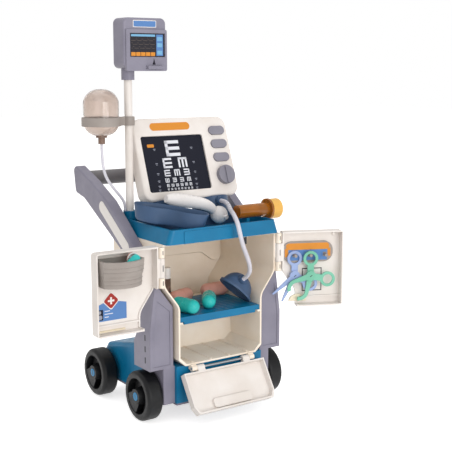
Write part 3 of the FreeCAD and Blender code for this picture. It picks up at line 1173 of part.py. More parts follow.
def make_sample_tube():
    """Build the amber sample tube, lying across the tray, and its yellow plug."""
    tube = new_body("sample_tube")
    reach = "tube_right - tube_left"
    revolve(tube, [("0", "0"), ("tube_r", "0"), ("tube_r", f"{reach}"), ("flange_r", f"{reach}"),
                   ("flange_r", f"{reach} + flange_t"), ("tube_bore", f"{reach} + flange_t"),
                   ("tube_bore", "wall"), ("0", "wall")])
    along = FreeCAD.Rotation(Y_AXIS, 90)
    place(tube, FreeCAD.Placement(point("tube_left", "front_y + tube_d", "tube_z"), along))
    plug = new_body("tube_plug")
    seat = "tube_bore - plug_fit"
    revolve(plug, [("0", "-plug_lip"), (seat, "-plug_lip"), (seat, "plug_fit"), ("plug_r", "plug_fit"),
                   ("plug_r", "plug_t"), ("0", "plug_t")])
    edge = size("plug_r")
    fillet(plug, "wall", lambda e: hasattr(e.Curve, "Radius") and near(e.Curve.Radius, edge)
           and e.BoundBox.ZMin > size("wall"))
    place(plug, FreeCAD.Placement(point("tube_right + flange_t", "front_y + tube_d", "tube_z"), along))


def make_capsule(label, spot):
    """Build one of the toy capsules that lie on the shelf, with the seam round its middle."""
    radius, reach = size("egg_r"), size("egg_half - egg_r")
    shape = Part.makeCylinder(radius, 2 * reach, V(-reach, 0, 0), X_AXIS)
    shape = shape.fuse([Part.makeSphere(radius, V(end * reach, 0, 0)) for end in (-1, 1)])
    seam = Part.makeCylinder(size("egg_r + seam_rise"), size("seam_w"), V(-size("seam_w / 2"), 0, 0), X_AXIS)
    middle = point(f"{spot}_x", f"front_y + {spot}_d", "deck_z + wall + shelf_t + egg_r + seam_rise + gap")
    lay = FreeCAD.Placement(middle, FreeCAD.Rotation(Z_AXIS, size(f"{spot}_turn")))
    return feature(label, shape.fuse(seam).removeSplitter(), lay)


def make_vial():
    """Build the small medicine vial with its ribbed cap."""
    body = new_body("medicine_vial")
    cap = "vial_h + vial_cap_h"
    revolve(body, [("0", "0"), ("vial_r", "0"), ("vial_r", "vial_h - wall"), ("vial_r - wall / 2", "vial_h"),
                   ("vial_r", "vial_h"), ("vial_r", cap), ("0", cap)])
    place(body, FreeCAD.Placement(point("vial_x", "front_y + vial_d", "deck_z + wall + shelf_t"), FreeCAD.Rotation()))
    return body


def make_mask():
    """Build the breathing mask: an open dome with a hose neck."""
    radius, skin = size("mask_r"), size("mask_wall")
    tall = size("mask_h")
    dome = Part.makeSphere(radius)
    hollow = Part.makeSphere(radius - skin)
    stretch = FreeCAD.Matrix()
    stretch.scale(1.0, size("mask_w") / radius, tall / radius)
    outer, inner = dome.transformGeometry(stretch), hollow.transformGeometry(stretch)
    below = Part.makeBox(4 * radius, 4 * radius, 4 * radius, V(-2 * radius, -2 * radius, -4 * radius))
    lean = FreeCAD.Rotation(Y_AXIS, size("mask_lean"))
    way = lean.inverted().multVec(neck_way())
    crest = mask_crest(way)
    neck = Part.makeCylinder(size("mask_port"), size("mask_neck") + 2 * skin, crest - way * (2 * skin), way)
    lip = size("mask_lip")
    spread = FreeCAD.Matrix()
    spread.scale(1.0, (size("mask_w") + lip) / (radius + lip), 1.0)
    rim = Part.makeCylinder(radius + lip, size("mask_lip_t")).transformGeometry(spread)
    shape = outer.fuse([neck, rim]).cut(inner).cut(below).removeSplitter()
    return feature("breathing_mask", shape, FreeCAD.Placement(mask_centre() + point("0", "front_y", "0"), lean))


def neck_way():
    """Return the direction in which the mask's neck points."""
    fall, turn = math.radians(size("neck_fall")), math.radians(size("neck_turn"))
    return V(math.sin(fall) * math.cos(turn), math.sin(fall) * math.sin(turn), math.cos(fall))


def mask_crest(way):
    """Return the dome's furthest point in a direction, in the mask's own frame."""
    long, wide, tall = size("mask_r"), size("mask_w"), size("mask_h")
    reach = math.sqrt((long * way.x) ** 2 + (wide * way.y) ** 2 + (tall * way.z) ** 2)
    return V(long ** 2 * way.x / reach, wide ** 2 * way.y / reach, tall ** 2 * way.z / reach)


def mask_centre():
    """Return the middle of the mask's rim, which leans with its lower side on the shelf."""
    rise = size("mask_r + mask_lip") * math.sin(math.radians(size("mask_lean")))
    return point("mask_x", "mask_d", "deck_z + wall + shelf_t + gap") + V(0, 0, rise)


def make_hose():
    """Build the breathing hose, from the stand's port over the tray's lip to the mask."""
    lean = FreeCAD.Rotation(Y_AXIS, size("mask_lean"))
    crest = mask_crest(lean.inverted().multVec(neck_way()))
    neck = mask_centre() + lean.multVec(crest) + neck_way() * size("mask_neck")
    port = point("port_x", "stand_front - port_len", "port_z")
    route = [port, port + V(0, -11, 0), V(52, 57, 331), V(43, 39, 328), V(33, 21, 326), V(25, 6, 326),
             V(18, -9, 324), V(15, -23, 314), V(16, -28, 298), V(21, -28, 280), V(30, -26, 262), V(40, -22, 244),
             neck + neck_way() * 18, neck]
    return tube_along("mask_hose", route, size("hose_r"))


make_chassis()
make_base_plate()
make_cabinet()
make_shelf()
make_tray()
make_column(-1, "left_column")
make_column(1, "right_column")
make_arm(-1, "left_arm")
make_arm(1, "right_arm")
make_push_bar()
make_axle("front_axle_rod", "front_axle")
make_axle("rear_axle_rod", "rear_axle")
for wheel_side, side_name in ((-1, "left"), (1, "right")):
    for wheel_depth, end_name in (("front_axle", "front"), ("rear_axle", "rear")):
        make_wheel(f"{end_name}_{side_name}_wheel", wheel_side, wheel_depth)
make_axle_caps()
make_pole()
make_bottle_ring()
make_bottle()
make_nozzle()
make_drip_tube()
make_monitor()
make_viewer_front()
make_viewer_back()
make_chart_card()
for button_index in range(3):
    make_viewer_button(button_index)
make_viewer_dial()
make_stand()
make_door(-1, "left_door")
make_door(1, "right_door")
make_door_pins()
make_basket()
make_basket_tools()
make_hanger()
make_hung_tools()
make_flap()
make_flap_pin()
make_catch()
make_dish()
make_thermometer()
make_sample_tube()
for colour in ("teal", "pink"):
    for capsule_side in ("left", "right"):
        make_capsule(f"{colour}_capsule_{capsule_side}", f"{colour}_{capsule_side}")
make_vial()
make_mask()
make_hose()

doc.recompute()
for item in doc.Objects:
    if "Invalid" in item.State or "Error" in item.State:
        raise RuntimeError(f"{item.Name} failed: {item.State}")
for node in NODES:
    if node.Shape.isNull() or not node.Shape.isValid():
        raise RuntimeError(f"{node.Label} has no sound shape")

os.makedirs("parts", exist_ok=True)
for node in NODES:
    node.Shape.exportStep(f"parts/{node.Label}.step")
print(len(NODES), "nodes written")
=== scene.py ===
"""Dress the toy doctor trolley: finishes for its moulded parts, its printed panels, hoses and studio."""

import json
import logging
import math
from dataclasses import dataclass, field
from enum import Enum

import bmesh
import bpy
from mathutils import Matrix, Vector

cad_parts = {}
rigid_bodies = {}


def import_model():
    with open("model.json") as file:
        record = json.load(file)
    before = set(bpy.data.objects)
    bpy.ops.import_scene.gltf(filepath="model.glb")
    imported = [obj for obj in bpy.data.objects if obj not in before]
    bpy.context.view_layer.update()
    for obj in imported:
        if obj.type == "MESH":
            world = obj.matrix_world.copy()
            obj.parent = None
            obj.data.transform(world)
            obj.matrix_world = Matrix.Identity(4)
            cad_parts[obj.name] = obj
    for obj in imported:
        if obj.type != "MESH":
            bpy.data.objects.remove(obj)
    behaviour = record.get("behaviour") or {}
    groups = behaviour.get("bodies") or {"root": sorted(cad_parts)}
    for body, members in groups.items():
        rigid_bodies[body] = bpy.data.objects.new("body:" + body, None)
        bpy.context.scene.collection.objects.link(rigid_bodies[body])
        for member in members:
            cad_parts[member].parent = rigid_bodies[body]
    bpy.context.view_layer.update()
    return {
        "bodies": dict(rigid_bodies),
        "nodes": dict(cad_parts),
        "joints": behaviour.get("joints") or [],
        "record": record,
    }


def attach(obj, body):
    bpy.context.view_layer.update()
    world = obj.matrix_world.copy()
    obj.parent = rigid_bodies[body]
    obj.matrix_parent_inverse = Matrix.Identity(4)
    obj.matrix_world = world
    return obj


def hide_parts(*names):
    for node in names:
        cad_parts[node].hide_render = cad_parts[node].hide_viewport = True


LOG = logging.getLogger("doctor_trolley")
# A Place is a point, a Pad a plate's width, height and corner radius, a Box left, low, right and high
Pair = tuple[float, float]
Place = tuple[float, float, float]
Pad = tuple[float, float, float]
Box = tuple[float, float, float, float]
Outline = list[Pair]
Source = tuple[bpy.types.Node, str]

# Sizes are in millimetres and MM turns them to metres; depth counts back from the cabinet's front at FRONT_Y
MM = 0.001
FRONT_Y = -0.106
HINGE_X = 111.5
HINGE_DEPTH = -3.0
DOOR_FACE = -16.0
LEFT_OPEN = 180.0
RIGHT_OPEN = 156.0
HANDS = ((-1, "left"), (1, "right"))
WHITE = (1.0, 1.0, 1.0, 1.0)

# Sockets of the colour mix node, which share their names with those for other kinds of value
MIX_FACTOR, MIX_FIRST, MIX_SECOND, MIX_RESULT = 0, 6, 7, 2


# Shared helpers

def linear(code: str) -> tuple[float, float, float, float]:
    """Turn an sRGB hex colour into linear values.

    Args:
        code: Six hex digits, with or without a leading mark.

    Returns:
        Red, green, blue and an alpha of one.
    """
    code = code.lstrip("#")
    parts = [int(code[i:i + 2], 16) / 255 for i in (0, 2, 4)]
    red, green, blue = (c / 12.92 if c <= 0.04045 else ((c + 0.055) / 1.055) ** 2.4 for c in parts)
    return red, green, blue, 1.0


def add_node(tree: bpy.types.NodeTree, kind: str, settings: dict | None = None, values: dict | None = None,
             links: dict | None = None) -> bpy.types.Node:
    """Add a node with its settings, socket values and incoming links.

    Args:
        tree: The node tree to add to.
        kind: The node's Blender type.
        settings: Attributes to set on the node.
        values: Input values by socket name or index.
        links: Input socket to (node, output socket).

    Returns:
        The new node.
    """
    node = tree.nodes.new(kind)
    for name, value in (settings or {}).items():
        setattr(node, name, value)
    for name, value in (values or {}).items():
        node.inputs[name].default_value = value
    for name, (source, output) in (links or {}).items():
        tree.links.new(source.outputs[output], node.inputs[name])
    return node


def per_metre(width_mm: float) -> float:
    """Return a noise scale whose features are about a width in millimetres."""
    return 1.0 / (width_mm * MM)


# Finishes

@dataclass(frozen=True)
class Finish:
    """What every surface has: a name, a colour and a drift of that colour, gloss and index.

    The drift is the slow change of shade that moulding, handling and light leave on a real part.
    """

    name: str
    colour: str
    drift: str
    roughness: float
    ior: float | None = 1.49
    drift_mm: float = 45.0

    def material(self) -> bpy.types.Material:
        """Make the Blender material on first use.

        Returns:
            The material.
        """
        made = bpy.data.materials.get(self.name)
        if made is None:
            made = bpy.data.materials.new(self.name)
            made.use_nodes = True
            made.diffuse_color = linear(self.colour)
            tree = made.node_tree
            tree.nodes.clear()
            shader = add_node(tree, "ShaderNodeBsdfPrincipled",
                              values={"Base Color": linear(self.colour), "Roughness": self.roughness})
            if self.ior is not None:
                shader.inputs["IOR"].default_value = self.ior
            add_node(tree, "ShaderNodeOutputMaterial", links={"Surface": (shader, "BSDF")})
            source = self.paint(tree, shader, add_node(tree, "ShaderNodeTexCoord"))
            blend = add_node(tree, "ShaderNodeMix", {"data_type": "RGBA"},
                             {MIX_FIRST: linear(self.colour), MIX_SECOND: linear(self.drift)},
                             {MIX_FACTOR: source})
            tree.links.new(blend.outputs[MIX_RESULT], shader.inputs["Base Color"])
        return made

    def paint(self, tree: bpy.types.NodeTree, shader: bpy.types.Node, place: bpy.types.Node) -> Source:
        """Add the finish's own nodes.

        Args:
            tree: The material's tree.
            shader: Its principled shader.
            place: Its texture coordinates.

        Returns:
            The node and output that the drift of colour follows.
        """
        raise NotImplementedError(self.name)


@dataclass(frozen=True)
class MouldedPlastic(Finish):
    """Injection-moulded ABS: spark-eroded tool grain, soft broken edges, faint scuffs in its gloss.

    The grain is 0.3 mm on such a tool; it is drawn coarser so that it shows at this size.
    """

    sheen: float = 0.3
    grain_mm: float = 1.1
    grain_depth_mm: float = 0.03
    scuff: float = 0.09
    scuff_mm: float = 9.0
    edge_mm: float = 0.7

    def paint(self, tree: bpy.types.NodeTree, shader: bpy.types.Node, place: bpy.types.Node) -> Source:
        """Add colour drift, tool grain, scuffed gloss and rounded edges.

        Args:
            tree: The material's tree.
            shader: Its principled shader.
            place: Its texture coordinates.

        Returns:
            The node and output that the drift of colour follows.
        """
        shader.inputs["Specular IOR Level"].default_value = self.sheen
        cloud = add_node(tree, "ShaderNodeTexNoise",
                         values={"Scale": per_metre(self.drift_mm), "Detail": 4.0},
                         links={"Vector": (place, "Object")})
        spread = add_node(tree, "ShaderNodeMapRange", values={"From Min": 0.36, "From Max": 0.66},
                          links={"Value": (cloud, "Fac")})
        rubs = add_node(tree, "ShaderNodeTexNoise",
                        values={"Scale": per_metre(self.scuff_mm), "Detail": 6.0, "Roughness": 0.62},
                        links={"Vector": (place, "Object")})
        gloss = add_node(tree, "ShaderNodeMapRange",
                         values={"From Min": 0.3, "From Max": 0.7, "To Min": self.roughness - self.scuff,
                                 "To Max": self.roughness + self.scuff}, links={"Value": (rubs, "Fac")})
        tree.links.new(gloss.outputs["Result"], shader.inputs["Roughness"])
        edge = add_node(tree, "ShaderNodeBevel", {"samples": 4}, {"Radius": self.edge_mm * MM})
        grain = add_node(tree, "ShaderNodeTexNoise",
                         values={"Scale": per_metre(self.grain_mm), "Detail": 2.0},
                         links={"Vector": (place, "Object")})
        bump = add_node(tree, "ShaderNodeBump",
                        values={"Strength": 0.35, "Distance": self.grain_depth_mm * MM},
                        links={"Height": (grain, "Fac"), "Normal": (edge, "Normal")})
        tree.links.new(bump.outputs["Normal"], shader.inputs["Normal"])
        return spread, "Result"


@dataclass(frozen=True)
class ClearPlastic(Finish):
    """Tinted see-through styrene or vinyl: light passes, with flow marks that shift its gloss."""

    passing: float = 0.6
    flow_mm: float = 14.0
    flow_depth_mm: float = 0.1

    def paint(self, tree: bpy.types.NodeTree, shader: bpy.types.Node, place: bpy.types.Node) -> Source:
        """Add colour drift, see-through body and flow marks.

        Args:
            tree: The material's tree.
            shader: Its principled shader.
            place: Its texture coordinates.

        Returns:
            The node and output that the drift of colour follows.
        """
        shader.inputs["Transmission Weight"].default_value = self.passing
        stretch = add_node(tree, "ShaderNodeMapping", values={"Scale": (1.0, 1.0, 0.3)},
                           links={"Vector": (place, "Object")})
        flow = add_node(tree, "ShaderNodeTexNoise", values={"Scale": per_metre(self.flow_mm), "Detail": 3.0},
                        links={"Vector": (stretch, "Vector")})
        spread = add_node(tree, "ShaderNodeMapRange", values={"From Min": 0.35, "From Max": 0.68},
                          links={"Value": (flow, "Fac")})
        gloss = add_node(tree, "ShaderNodeMapRange",
                         values={"To Min": self.roughness * 0.7, "To Max": self.roughness * 1.3},
                         links={"Value": (flow, "Fac")})
        tree.links.new(gloss.outputs["Result"], shader.inputs["Roughness"])
        bump = add_node(tree, "ShaderNodeBump",
                        values={"Strength": 0.12, "Distance": self.flow_depth_mm * MM},
                        links={"Height": (flow, "Fac")})
        tree.links.new(bump.outputs["Normal"], shader.inputs["Normal"])
        return spread, "Result"


@dataclass(frozen=True)
class DrawnSteel(Finish):
    """Cold-drawn steel rod: bright, with fine die lines along its length.

    It keeps the shader's own index, as a metal does. The lines are coarser than the die's so that they show.
    """

    ior: float | None = None
    line_mm: float = 0.5

    def paint(self, tree: bpy.types.NodeTree, shader: bpy.types.Node, place: bpy.types.Node) -> Source:
        """Add the metal and its die lines.

        Args:
            tree: The material's tree.
            shader: Its principled shader.
            place: Its texture coordinates.

        Returns:
            The node and output that the drift of colour follows.
        """
        shader.inputs["Metallic"].default_value = 1.0
        stretch = add_node(tree, "ShaderNodeMapping", values={"Scale": (0.04, 1.0, 0.04)},
                           links={"Vector": (place, "Object")})
        lines = add_node(tree, "ShaderNodeTexNoise", values={"Scale": per_metre(self.line_mm), "Detail": 4.0},
                         links={"Vector": (stretch, "Vector")})
        gloss = add_node(tree, "ShaderNodeMapRange",
                         values={"To Min": self.roughness - 0.08, "To Max": self.roughness + 0.12},
                         links={"Value": (lines, "Fac")})
        tree.links.new(gloss.outputs["Result"], shader.inputs["Roughness"])
        return lines, "Fac"


@dataclass(frozen=True)
class PrintedCard(Finish):
    """Varnished board or a paper label: paper fibre under a thin coat of ink."""

    sheen: float = 0.2
    fibre_mm: float = 1.4
    fibre_depth_mm: float = 0.03

    def paint(self, tree: bpy.types.NodeTree, shader: bpy.types.Node, place: bpy.types.Node) -> Source:
        """Add ink mottle and paper fibre.

        Args:
            tree: The material's tree.
            shader: Its principled shader.
            place: Its texture coordinates.

        Returns:
            The node and output that the drift of colour follows.
        """
        shader.inputs["Specular IOR Level"].default_value = self.sheen
        fibre = add_node(tree, "ShaderNodeTexNoise",
                         values={"Scale": per_metre(self.fibre_mm), "Detail": 5.0},
                         links={"Vector": (place, "Object")})
        gloss = add_node(tree, "ShaderNodeMapRange",
                         values={"To Min": self.roughness - 0.07, "To Max": self.roughness + 0.07},
                         links={"Value": (fibre, "Fac")})
        tree.links.new(gloss.outputs["Result"], shader.inputs["Roughness"])
        bump = add_node(tree, "ShaderNodeBump",
                        values={"Strength": 0.15, "Distance": self.fibre_depth_mm * MM},
                        links={"Height": (fibre, "Fac")})
        tree.links.new(bump.outputs["Normal"], shader.inputs["Normal"])
        return fibre, "Fac"


# Moulded ABS shells: an even, slightly waxy shine that breaks at scuffs, with soft light along every edge
CREAM_ABS = MouldedPlastic("cream_abs_moulded", "#e9e3de", "#e1d9d2", 0.38)
# The cabinet's warmer, lighter cream is painted warm bounce light that brightens its inside.
CABINET_ABS = MouldedPlastic("cream_cabinet_abs_painted_bounce_light", "#f8ecdd", "#f1e3d1", 0.38)
# The straw tint of the doors' ledge and rib is painted warm shade on cream ledges.
LEDGE_ABS = MouldedPlastic("cream_ledge_abs_painted_warm_shade", "#eee2c8", "#e6d9bd", 0.38)
BLUE_ABS = MouldedPlastic("blue_abs_moulded", "#04739f", "#036993", 0.38)
LAVENDER_ABS = MouldedPlastic("lavender_grey_abs_moulded", "#8a8796", "#807d8c", 0.42)
BAR_GREY_ABS = MouldedPlastic("bar_grey_abs_moulded", "#7d7a7c", "#737073", 0.42)
SLATE_ABS = MouldedPlastic("slate_blue_abs_moulded", "#3f5777", "#384f6d", 0.4)
WARM_GREY_ABS = MouldedPlastic("warm_grey_abs_moulded", "#a09892", "#968d87", 0.42)
# Moulded polyethylene tyre: deep black, duller than the shells and coarser in grain
WHEEL_PE = MouldedPlastic("black_polyethylene_wheel", "#101114", "#0c0d0f", 0.45, grain_mm=1.4)
# Moulded ABS small parts: brighter colours and a tighter gloss than the shells
CAP_ABS = MouldedPlastic("light_blue_axle_cap", "#1c86bb", "#177aad", 0.32)
BUTTON_ABS = MouldedPlastic("button_grey_abs", "#8a8893", "#817f8a", 0.38)
# Dark plastic of the door catch; the same colour also makes the thin plates of painted shade in the slots of
# the knuckles, gills, axle caps and screw heads.
DARK_ABS_AND_SLOT_SHADE = MouldedPlastic("dark_catch_abs_and_painted_slot_shade", "#33353c", "#2b2d33", 0.42)
TEAL_ABS = MouldedPlastic("teal_abs_moulded", "#2cbdb8", "#25afab", 0.3)
PINK_ABS = MouldedPlastic("dusty_pink_abs", "#dba396", "#d19789", 0.36)
LILAC_ABS = MouldedPlastic("lilac_blue_abs", "#9db0da", "#91a4cf", 0.34)
GREEN_ABS = MouldedPlastic("soft_green_abs", "#7cc3a8", "#70b79c", 0.34)
WHITE_ABS = MouldedPlastic("white_abs_moulded", "#ece8e6", "#e2dddb", 0.3)
YELLOW_ABS = MouldedPlastic("yellow_cap_abs", "#eabb63", "#e2b058", 0.34)
BROWN_ABS = MouldedPlastic("brown_nozzle_abs", "#80685b", "#745c50", 0.4)
# Blow-moulded styrene and extruded vinyl: light goes through, pale in the middle, darker where the wall turns
SMOKE_PS = ClearPlastic("smoky_polystyrene", "#ebe0d9", "#e3d6cd", 0.12, passing=0.88)
AMBER_PS = ClearPlastic("amber_polystyrene", "#cc842a", "#bd761f", 0.14, passing=0.55)
MILK_VINYL = ClearPlastic("milky_soft_vinyl", "#e6e4ec", "#dcdae4", 0.3, passing=0.25)
# Drawn steel and pressed foil: a hard streak of light along the length
ROD_STEEL = DrawnSteel("drawn_steel_rod", "#b9babd", "#a5a6aa", 0.3)
MIRROR_FOIL = DrawnSteel("dull_mirror_foil", "#8a8583", "#6f6a6a", 0.2)
# Screen-printed card and paper labels: flat colour with almost no shine and a little paper fibre
NAVY_CARD = PrintedCard("navy_matt_card", "#1c1e2b", "#191b26", 0.68)
WHITE_INK = PrintedCard("white_screen_ink", "#e4e6ec", "#dadce3", 0.5)
PALE_INK = PrintedCard("pale_grey_ink", "#9a9eab", "#9093a0", 0.5)
ORANGE_LABEL = PrintedCard("orange_paper_label", "#dc9139", "#d48831", 0.45)
BLUE_LABEL = PrintedCard("blue_paper_label", "#5f88c0", "#567fb7", 0.45)
SKY_LABEL = PrintedCard("sky_blue_paper_label", "#7db3d6", "#73a9cd", 0.45)
RED_LABEL = PrintedCard("red_paper_label", "#a9362f", "#9d2f29", 0.45)
WHITE_LABEL = PrintedCard("white_paper_label", "#efeae6", "#e6e1dc", 0.45)
SCREEN_FILM = PrintedCard("dark_screen_film", "#2e2c33", "#29272d", 0.3)
TRACE_INK = PrintedCard("faint_trace_ink", "#6b615c", "#625853", 0.4)


# Mesh helpers

def new_piece(name: str, mesh: bpy.types.Mesh | bpy.types.Curve, finish: Finish, body: str) -> bpy.types.Object:
    """Put a mesh or a curve in the scene as a finished piece that rides on a body.

    Args:
        name: The piece's name.
        mesh: Its mesh or curve, in the trolley's frame.
        finish: Its finish.
        body: The body it moves with.

    Returns:
        The new object.
    """
    piece = bpy.data.objects.new(name, mesh)
    bpy.context.scene.collection.objects.link(piece)
    mesh.materials.append(finish.material())
    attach(piece, body)
    LOG.info("piece %s rides on %s", name, body)
    return piece


def mesh_from(shape: bmesh.types.BMesh, name: str, frame: Matrix, smooth: bool = False) -> bpy.types.Mesh:
    """Turn a built shape into a mesh that stands in the trolley's frame, and free the shape.

    Args:
        shape: The shape, in its own frame.
        name: The mesh's name.
        frame: Where that frame stands.
        smooth: Whether its faces shade as one curve.

    Returns:
        The mesh.
    """
    bmesh.ops.recalc_face_normals(shape, faces=shape.faces)
    for face in shape.faces:
        face.smooth = smooth
    shape.transform(frame)
    mesh = bpy.data.meshes.new(name)
    shape.to_mesh(mesh)
    shape.free()
    return mesh


def skin_rings(shape: bmesh.types.BMesh, rings: list[list[bmesh.types.BMVert]]) -> None:
    """Close a row of like rings into a capped bar.

    Args:
        shape: The shape that holds the rings.
        rings: Rings of vertices, in order along the bar.
    """
    count = len(rings[0])
    for one, two in zip(rings, rings[1:]):
        for i in range(count):
            j = (i + 1) % count
            shape.faces.new((one[i], one[j], two[j], two[i]))
    shape.faces.new(rings[0])
    shape.faces.new(list(reversed(rings[-1])))


def rounded(width: float, height: float, radius: float, steps: int = 8) -> Outline:
    """Return a rectangle with round corners about the origin.

    Args:
        width: Full width.
        height: Full height.
        radius: Corner radius.
        steps: Parts of each corner.

    Returns:
        Points in order, anticlockwise.
    """
    points: Outline = []
    for i, (sx, sy) in enumerate(((1, 1), (-1, 1), (-1, -1), (1, -1))):
        cx, cy = sx * (width / 2 - radius), sy * (height / 2 - radius)
        for k in range(steps + 1):
            turn = (i + k / steps) * math.pi / 2
            points.append((cx + radius * math.cos(turn), cy + radius * math.sin(turn)))
    return points


def box(x0: float, z0: float, x1: float, z1: float) -> Outline:
    """Return a rectangle from its low left corner to its high right one."""
    return [(x0, z0), (x1, z0), (x1, z1), (x0, z1)]


def moved(outline: Outline, x: float, z: float) -> Outline:
    """Return an outline shifted in its plane."""
    return [(a + x, b + z) for a, b in outline]


def plate_mesh(name: str, outlines: list[Outline], frame: Matrix, low: float, high: float,
               round_edge: float = 0.0) -> bpy.types.Mesh:
    """Build flat plates between two depths of a frame's XZ plane, all in millimetres.

    Args:
        name: The mesh's name.
        outlines: One closed outline per plate, in the frame's x and z.
        frame: The frame that the plates stand in.
        low: Depth of one face along the frame's y.
        high: Depth of the other face.
        round_edge: Bevel of the rim at the high face.

    Returns:
        The mesh, in the trolley's frame.
    """
    shape = bmesh.new()
    for outline in outlines:
        base = [shape.verts.new((x * MM, low * MM, z * MM)) for x, z in outline]
        top = [shape.verts.new((x * MM, high * MM, z * MM)) for x, z in outline]
        count = len(outline)
        shape.faces.new(base)
        crown = shape.faces.new(list(reversed(top)))
        for i in range(count):
            j = (i + 1) % count
            shape.faces.new((base[j], base[i], top[i], top[j]))
        if round_edge > 0:
            bmesh.ops.bevel(shape, geom=list(crown.edges), offset=round_edge * MM, segments=3, profile=0.5,
                            affect="EDGES")
    return mesh_from(shape, name, frame)


def lathe_mesh(name: str, profile: Outline, frame: Matrix, steps: int = 48) -> bpy.types.Mesh:
    """Turn a closed profile of radius and height about a frame's Z axis.

    Args:
        name: The mesh's name.
        profile: Points of radius and height, in millimetres.
        frame: The frame whose Z is the axis.
        steps: Sides round the axis.

    Returns:
        The mesh, in the trolley's frame.
    """
    shape = bmesh.new()
    rings = []
    for i in range(steps):
        turn = 2 * math.pi * i / steps
        cos, sin = math.cos(turn) * MM, math.sin(turn) * MM
        rings.append([shape.verts.new((r * cos, r * sin, h * MM)) for r, h in profile])
    count = len(profile)
    for i in range(steps):
        a, b = rings[i], rings[(i + 1) % steps]
        for k in range(count):
            n = (k + 1) % count
            shape.faces.new((a[k], b[k], b[n], a[n]))
    bmesh.ops.remove_doubles(shape, verts=shape.verts, dist=1e-6)
    return mesh_from(shape, name, frame, smooth=True)


def door_frame(side: int) -> Matrix:
    """Return the frame of an open door: closed-door x, depth and height to the trolley's frame.

    Args:
        side: Minus one for the left door, one for the right.

    Returns:
        The matrix.
    """
    hinge = Vector((side * HINGE_X * MM, FRONT_Y + HINGE_DEPTH * MM, 0.0))
    turn = Matrix.Rotation(math.radians(-LEFT_OPEN if side < 0 else RIGHT_OPEN), 4, "Z")
    return Matrix.Translation(hinge) @ turn @ Matrix.Translation(-hinge) @ Matrix.Translation((0, FRONT_Y, 0))


def cart_frame(x: float = 0.0, depth: float = 0.0, z: float = 0.0) -> Matrix:
    """Return the frame of a place on the fixed parts, given in millimetres from the cabinet's front edge."""
    return Matrix.Translation((x * MM, depth * MM + FRONT_Y, z * MM))


def side_frame(x: float, depth: float, z: float) -> Matrix:
    """Return a frame on the trolley's flank, whose y points out along the trolley's x."""
    return cart_frame(x, depth, z) @ Matrix.Rotation(math.radians(-90), 4, "Z")


def hose_line(name: str, route: list[Place], steps: int) -> bpy.types.Curve:
    """Return the smooth line that a hose's points control.

    Args:
        name: The curve's name.
        route: Control points in metres.
        steps: Parts of the line for each point.

    Returns:
        The curve, of no thickness.
    """
    curve = bpy.data.curves.new(name, "CURVE")
    curve.dimensions = "3D"
    curve.resolution_u = steps
    spline = curve.splines.new("NURBS")
    spline.points.add(len(route) - 1)
    for item, (x, y, z) in zip(spline.points, route):
        item.co = (x, y, z, 1.0)
    spline.order_u = 3
    spline.use_endpoint_u = True
    return curve


def lay_hose(name: str, points: list[Place], radius: float, node: str) -> None:
    """Args:
        name: The piece's name.
        points: Control points as x, depth and height, in millimetres.
        radius: The hose's radius, in millimetres.
        node: The node that it stands for.
    """
    route = [(x * MM, depth * MM + FRONT_Y, z * MM) for x, depth, z in points]
    curve = hose_line(name, route, 10)
    curve.bevel_depth = radius * MM
    curve.bevel_resolution = 6
    curve.use_fill_caps = True
    hose = new_piece(name, curve, MILK_VINYL, "cart")
    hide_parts(node)
    run_length(route)


def run_length(route: list[Place]) -> float:
    """Return the length of a hose along the smooth line that its points control.

    Args:
        route: Control points in metres.

    Returns:
        The length in metres.
    """
    curve = hose_line("measure", route, 24)
    item = bpy.data.objects.new("measure", curve)
    mesh = bpy.data.meshes.new_from_object(item)
    points = [v.co for v in mesh.vertices]
    length = sum((b - a).length for a, b in zip(points, points[1:]))
    bpy.data.objects.remove(item)
    bpy.data.curves.remove(curve)
    bpy.data.meshes.remove(mesh)
    return length


# Sub-assemblies

@dataclass
class MouldedBody:
    """The CAD pieces that keep their own shape and take a finish."""

    finishes: dict[Finish, tuple[str, ...]] = field(default_factory=lambda: {
        # The cabinet's cream carries painted warm bounce light.
        CABINET_ABS: ("cabinet",),
        CREAM_ABS: ("left_door", "right_door", "flap", "drip_pole", "viewer_front", "viewer_back"),
        BLUE_ABS: ("chassis", "shelf", "top_tray"),
        LAVENDER_ABS: ("left_column", "right_column", "base_plate", "left_arm", "right_arm", "monitor_case",
                       "monitor_bezel", "monitor_knob"),
        BAR_GREY_ABS: ("push_bar",),
        WHEEL_PE: ("front_left_wheel", "front_right_wheel", "rear_left_wheel", "rear_right_wheel"),
        CAP_ABS: ("axle_caps",),
        ROD_STEEL: ("front_axle_rod", "rear_axle_rod", "door_pins", "flap_pin"),
        SLATE_ABS: ("viewer_stand", "breathing_mask"),
        DARK_ABS_AND_SLOT_SHADE: ("door_catch",),
        BUTTON_ABS: ("viewer_button_1", "viewer_button_2", "viewer_button_3", "viewer_dial"),
        NAVY_CARD: ("chart_card",),
        SMOKE_PS: ("drip_bottle",),
        WARM_GREY_ABS: ("bottle_ring", "door_basket", "tool_hanger"),
        BROWN_ABS: ("drip_nozzle",),
        LILAC_ABS: ("scissors_a", "scissors_b"),
        GREEN_ABS: ("forceps_a", "forceps_b"),
        WHITE_ABS: ("ear_thermometer", "medicine_vial"),
        AMBER_PS: ("sample_tube",),
        YELLOW_ABS: ("tube_plug",),
        TEAL_ABS: ("teal_capsule_left", "teal_capsule_right", "toy_probe"),
        PINK_ABS: ("pink_capsule_left", "pink_capsule_right", "dental_mirror"),
    })

    def dress(self, nodes: dict[str, bpy.types.Object]) -> None:
        """Give each carried-over piece its finish.

        Args:
            nodes: The frame's node objects by name.
        """
        for finish, names in self.finishes.items():
            for name in names:
                mesh = nodes[name].data
                mesh.materials.clear()
                mesh.materials.append(finish.material())
                LOG.info("node %s is %s", name, finish.name)


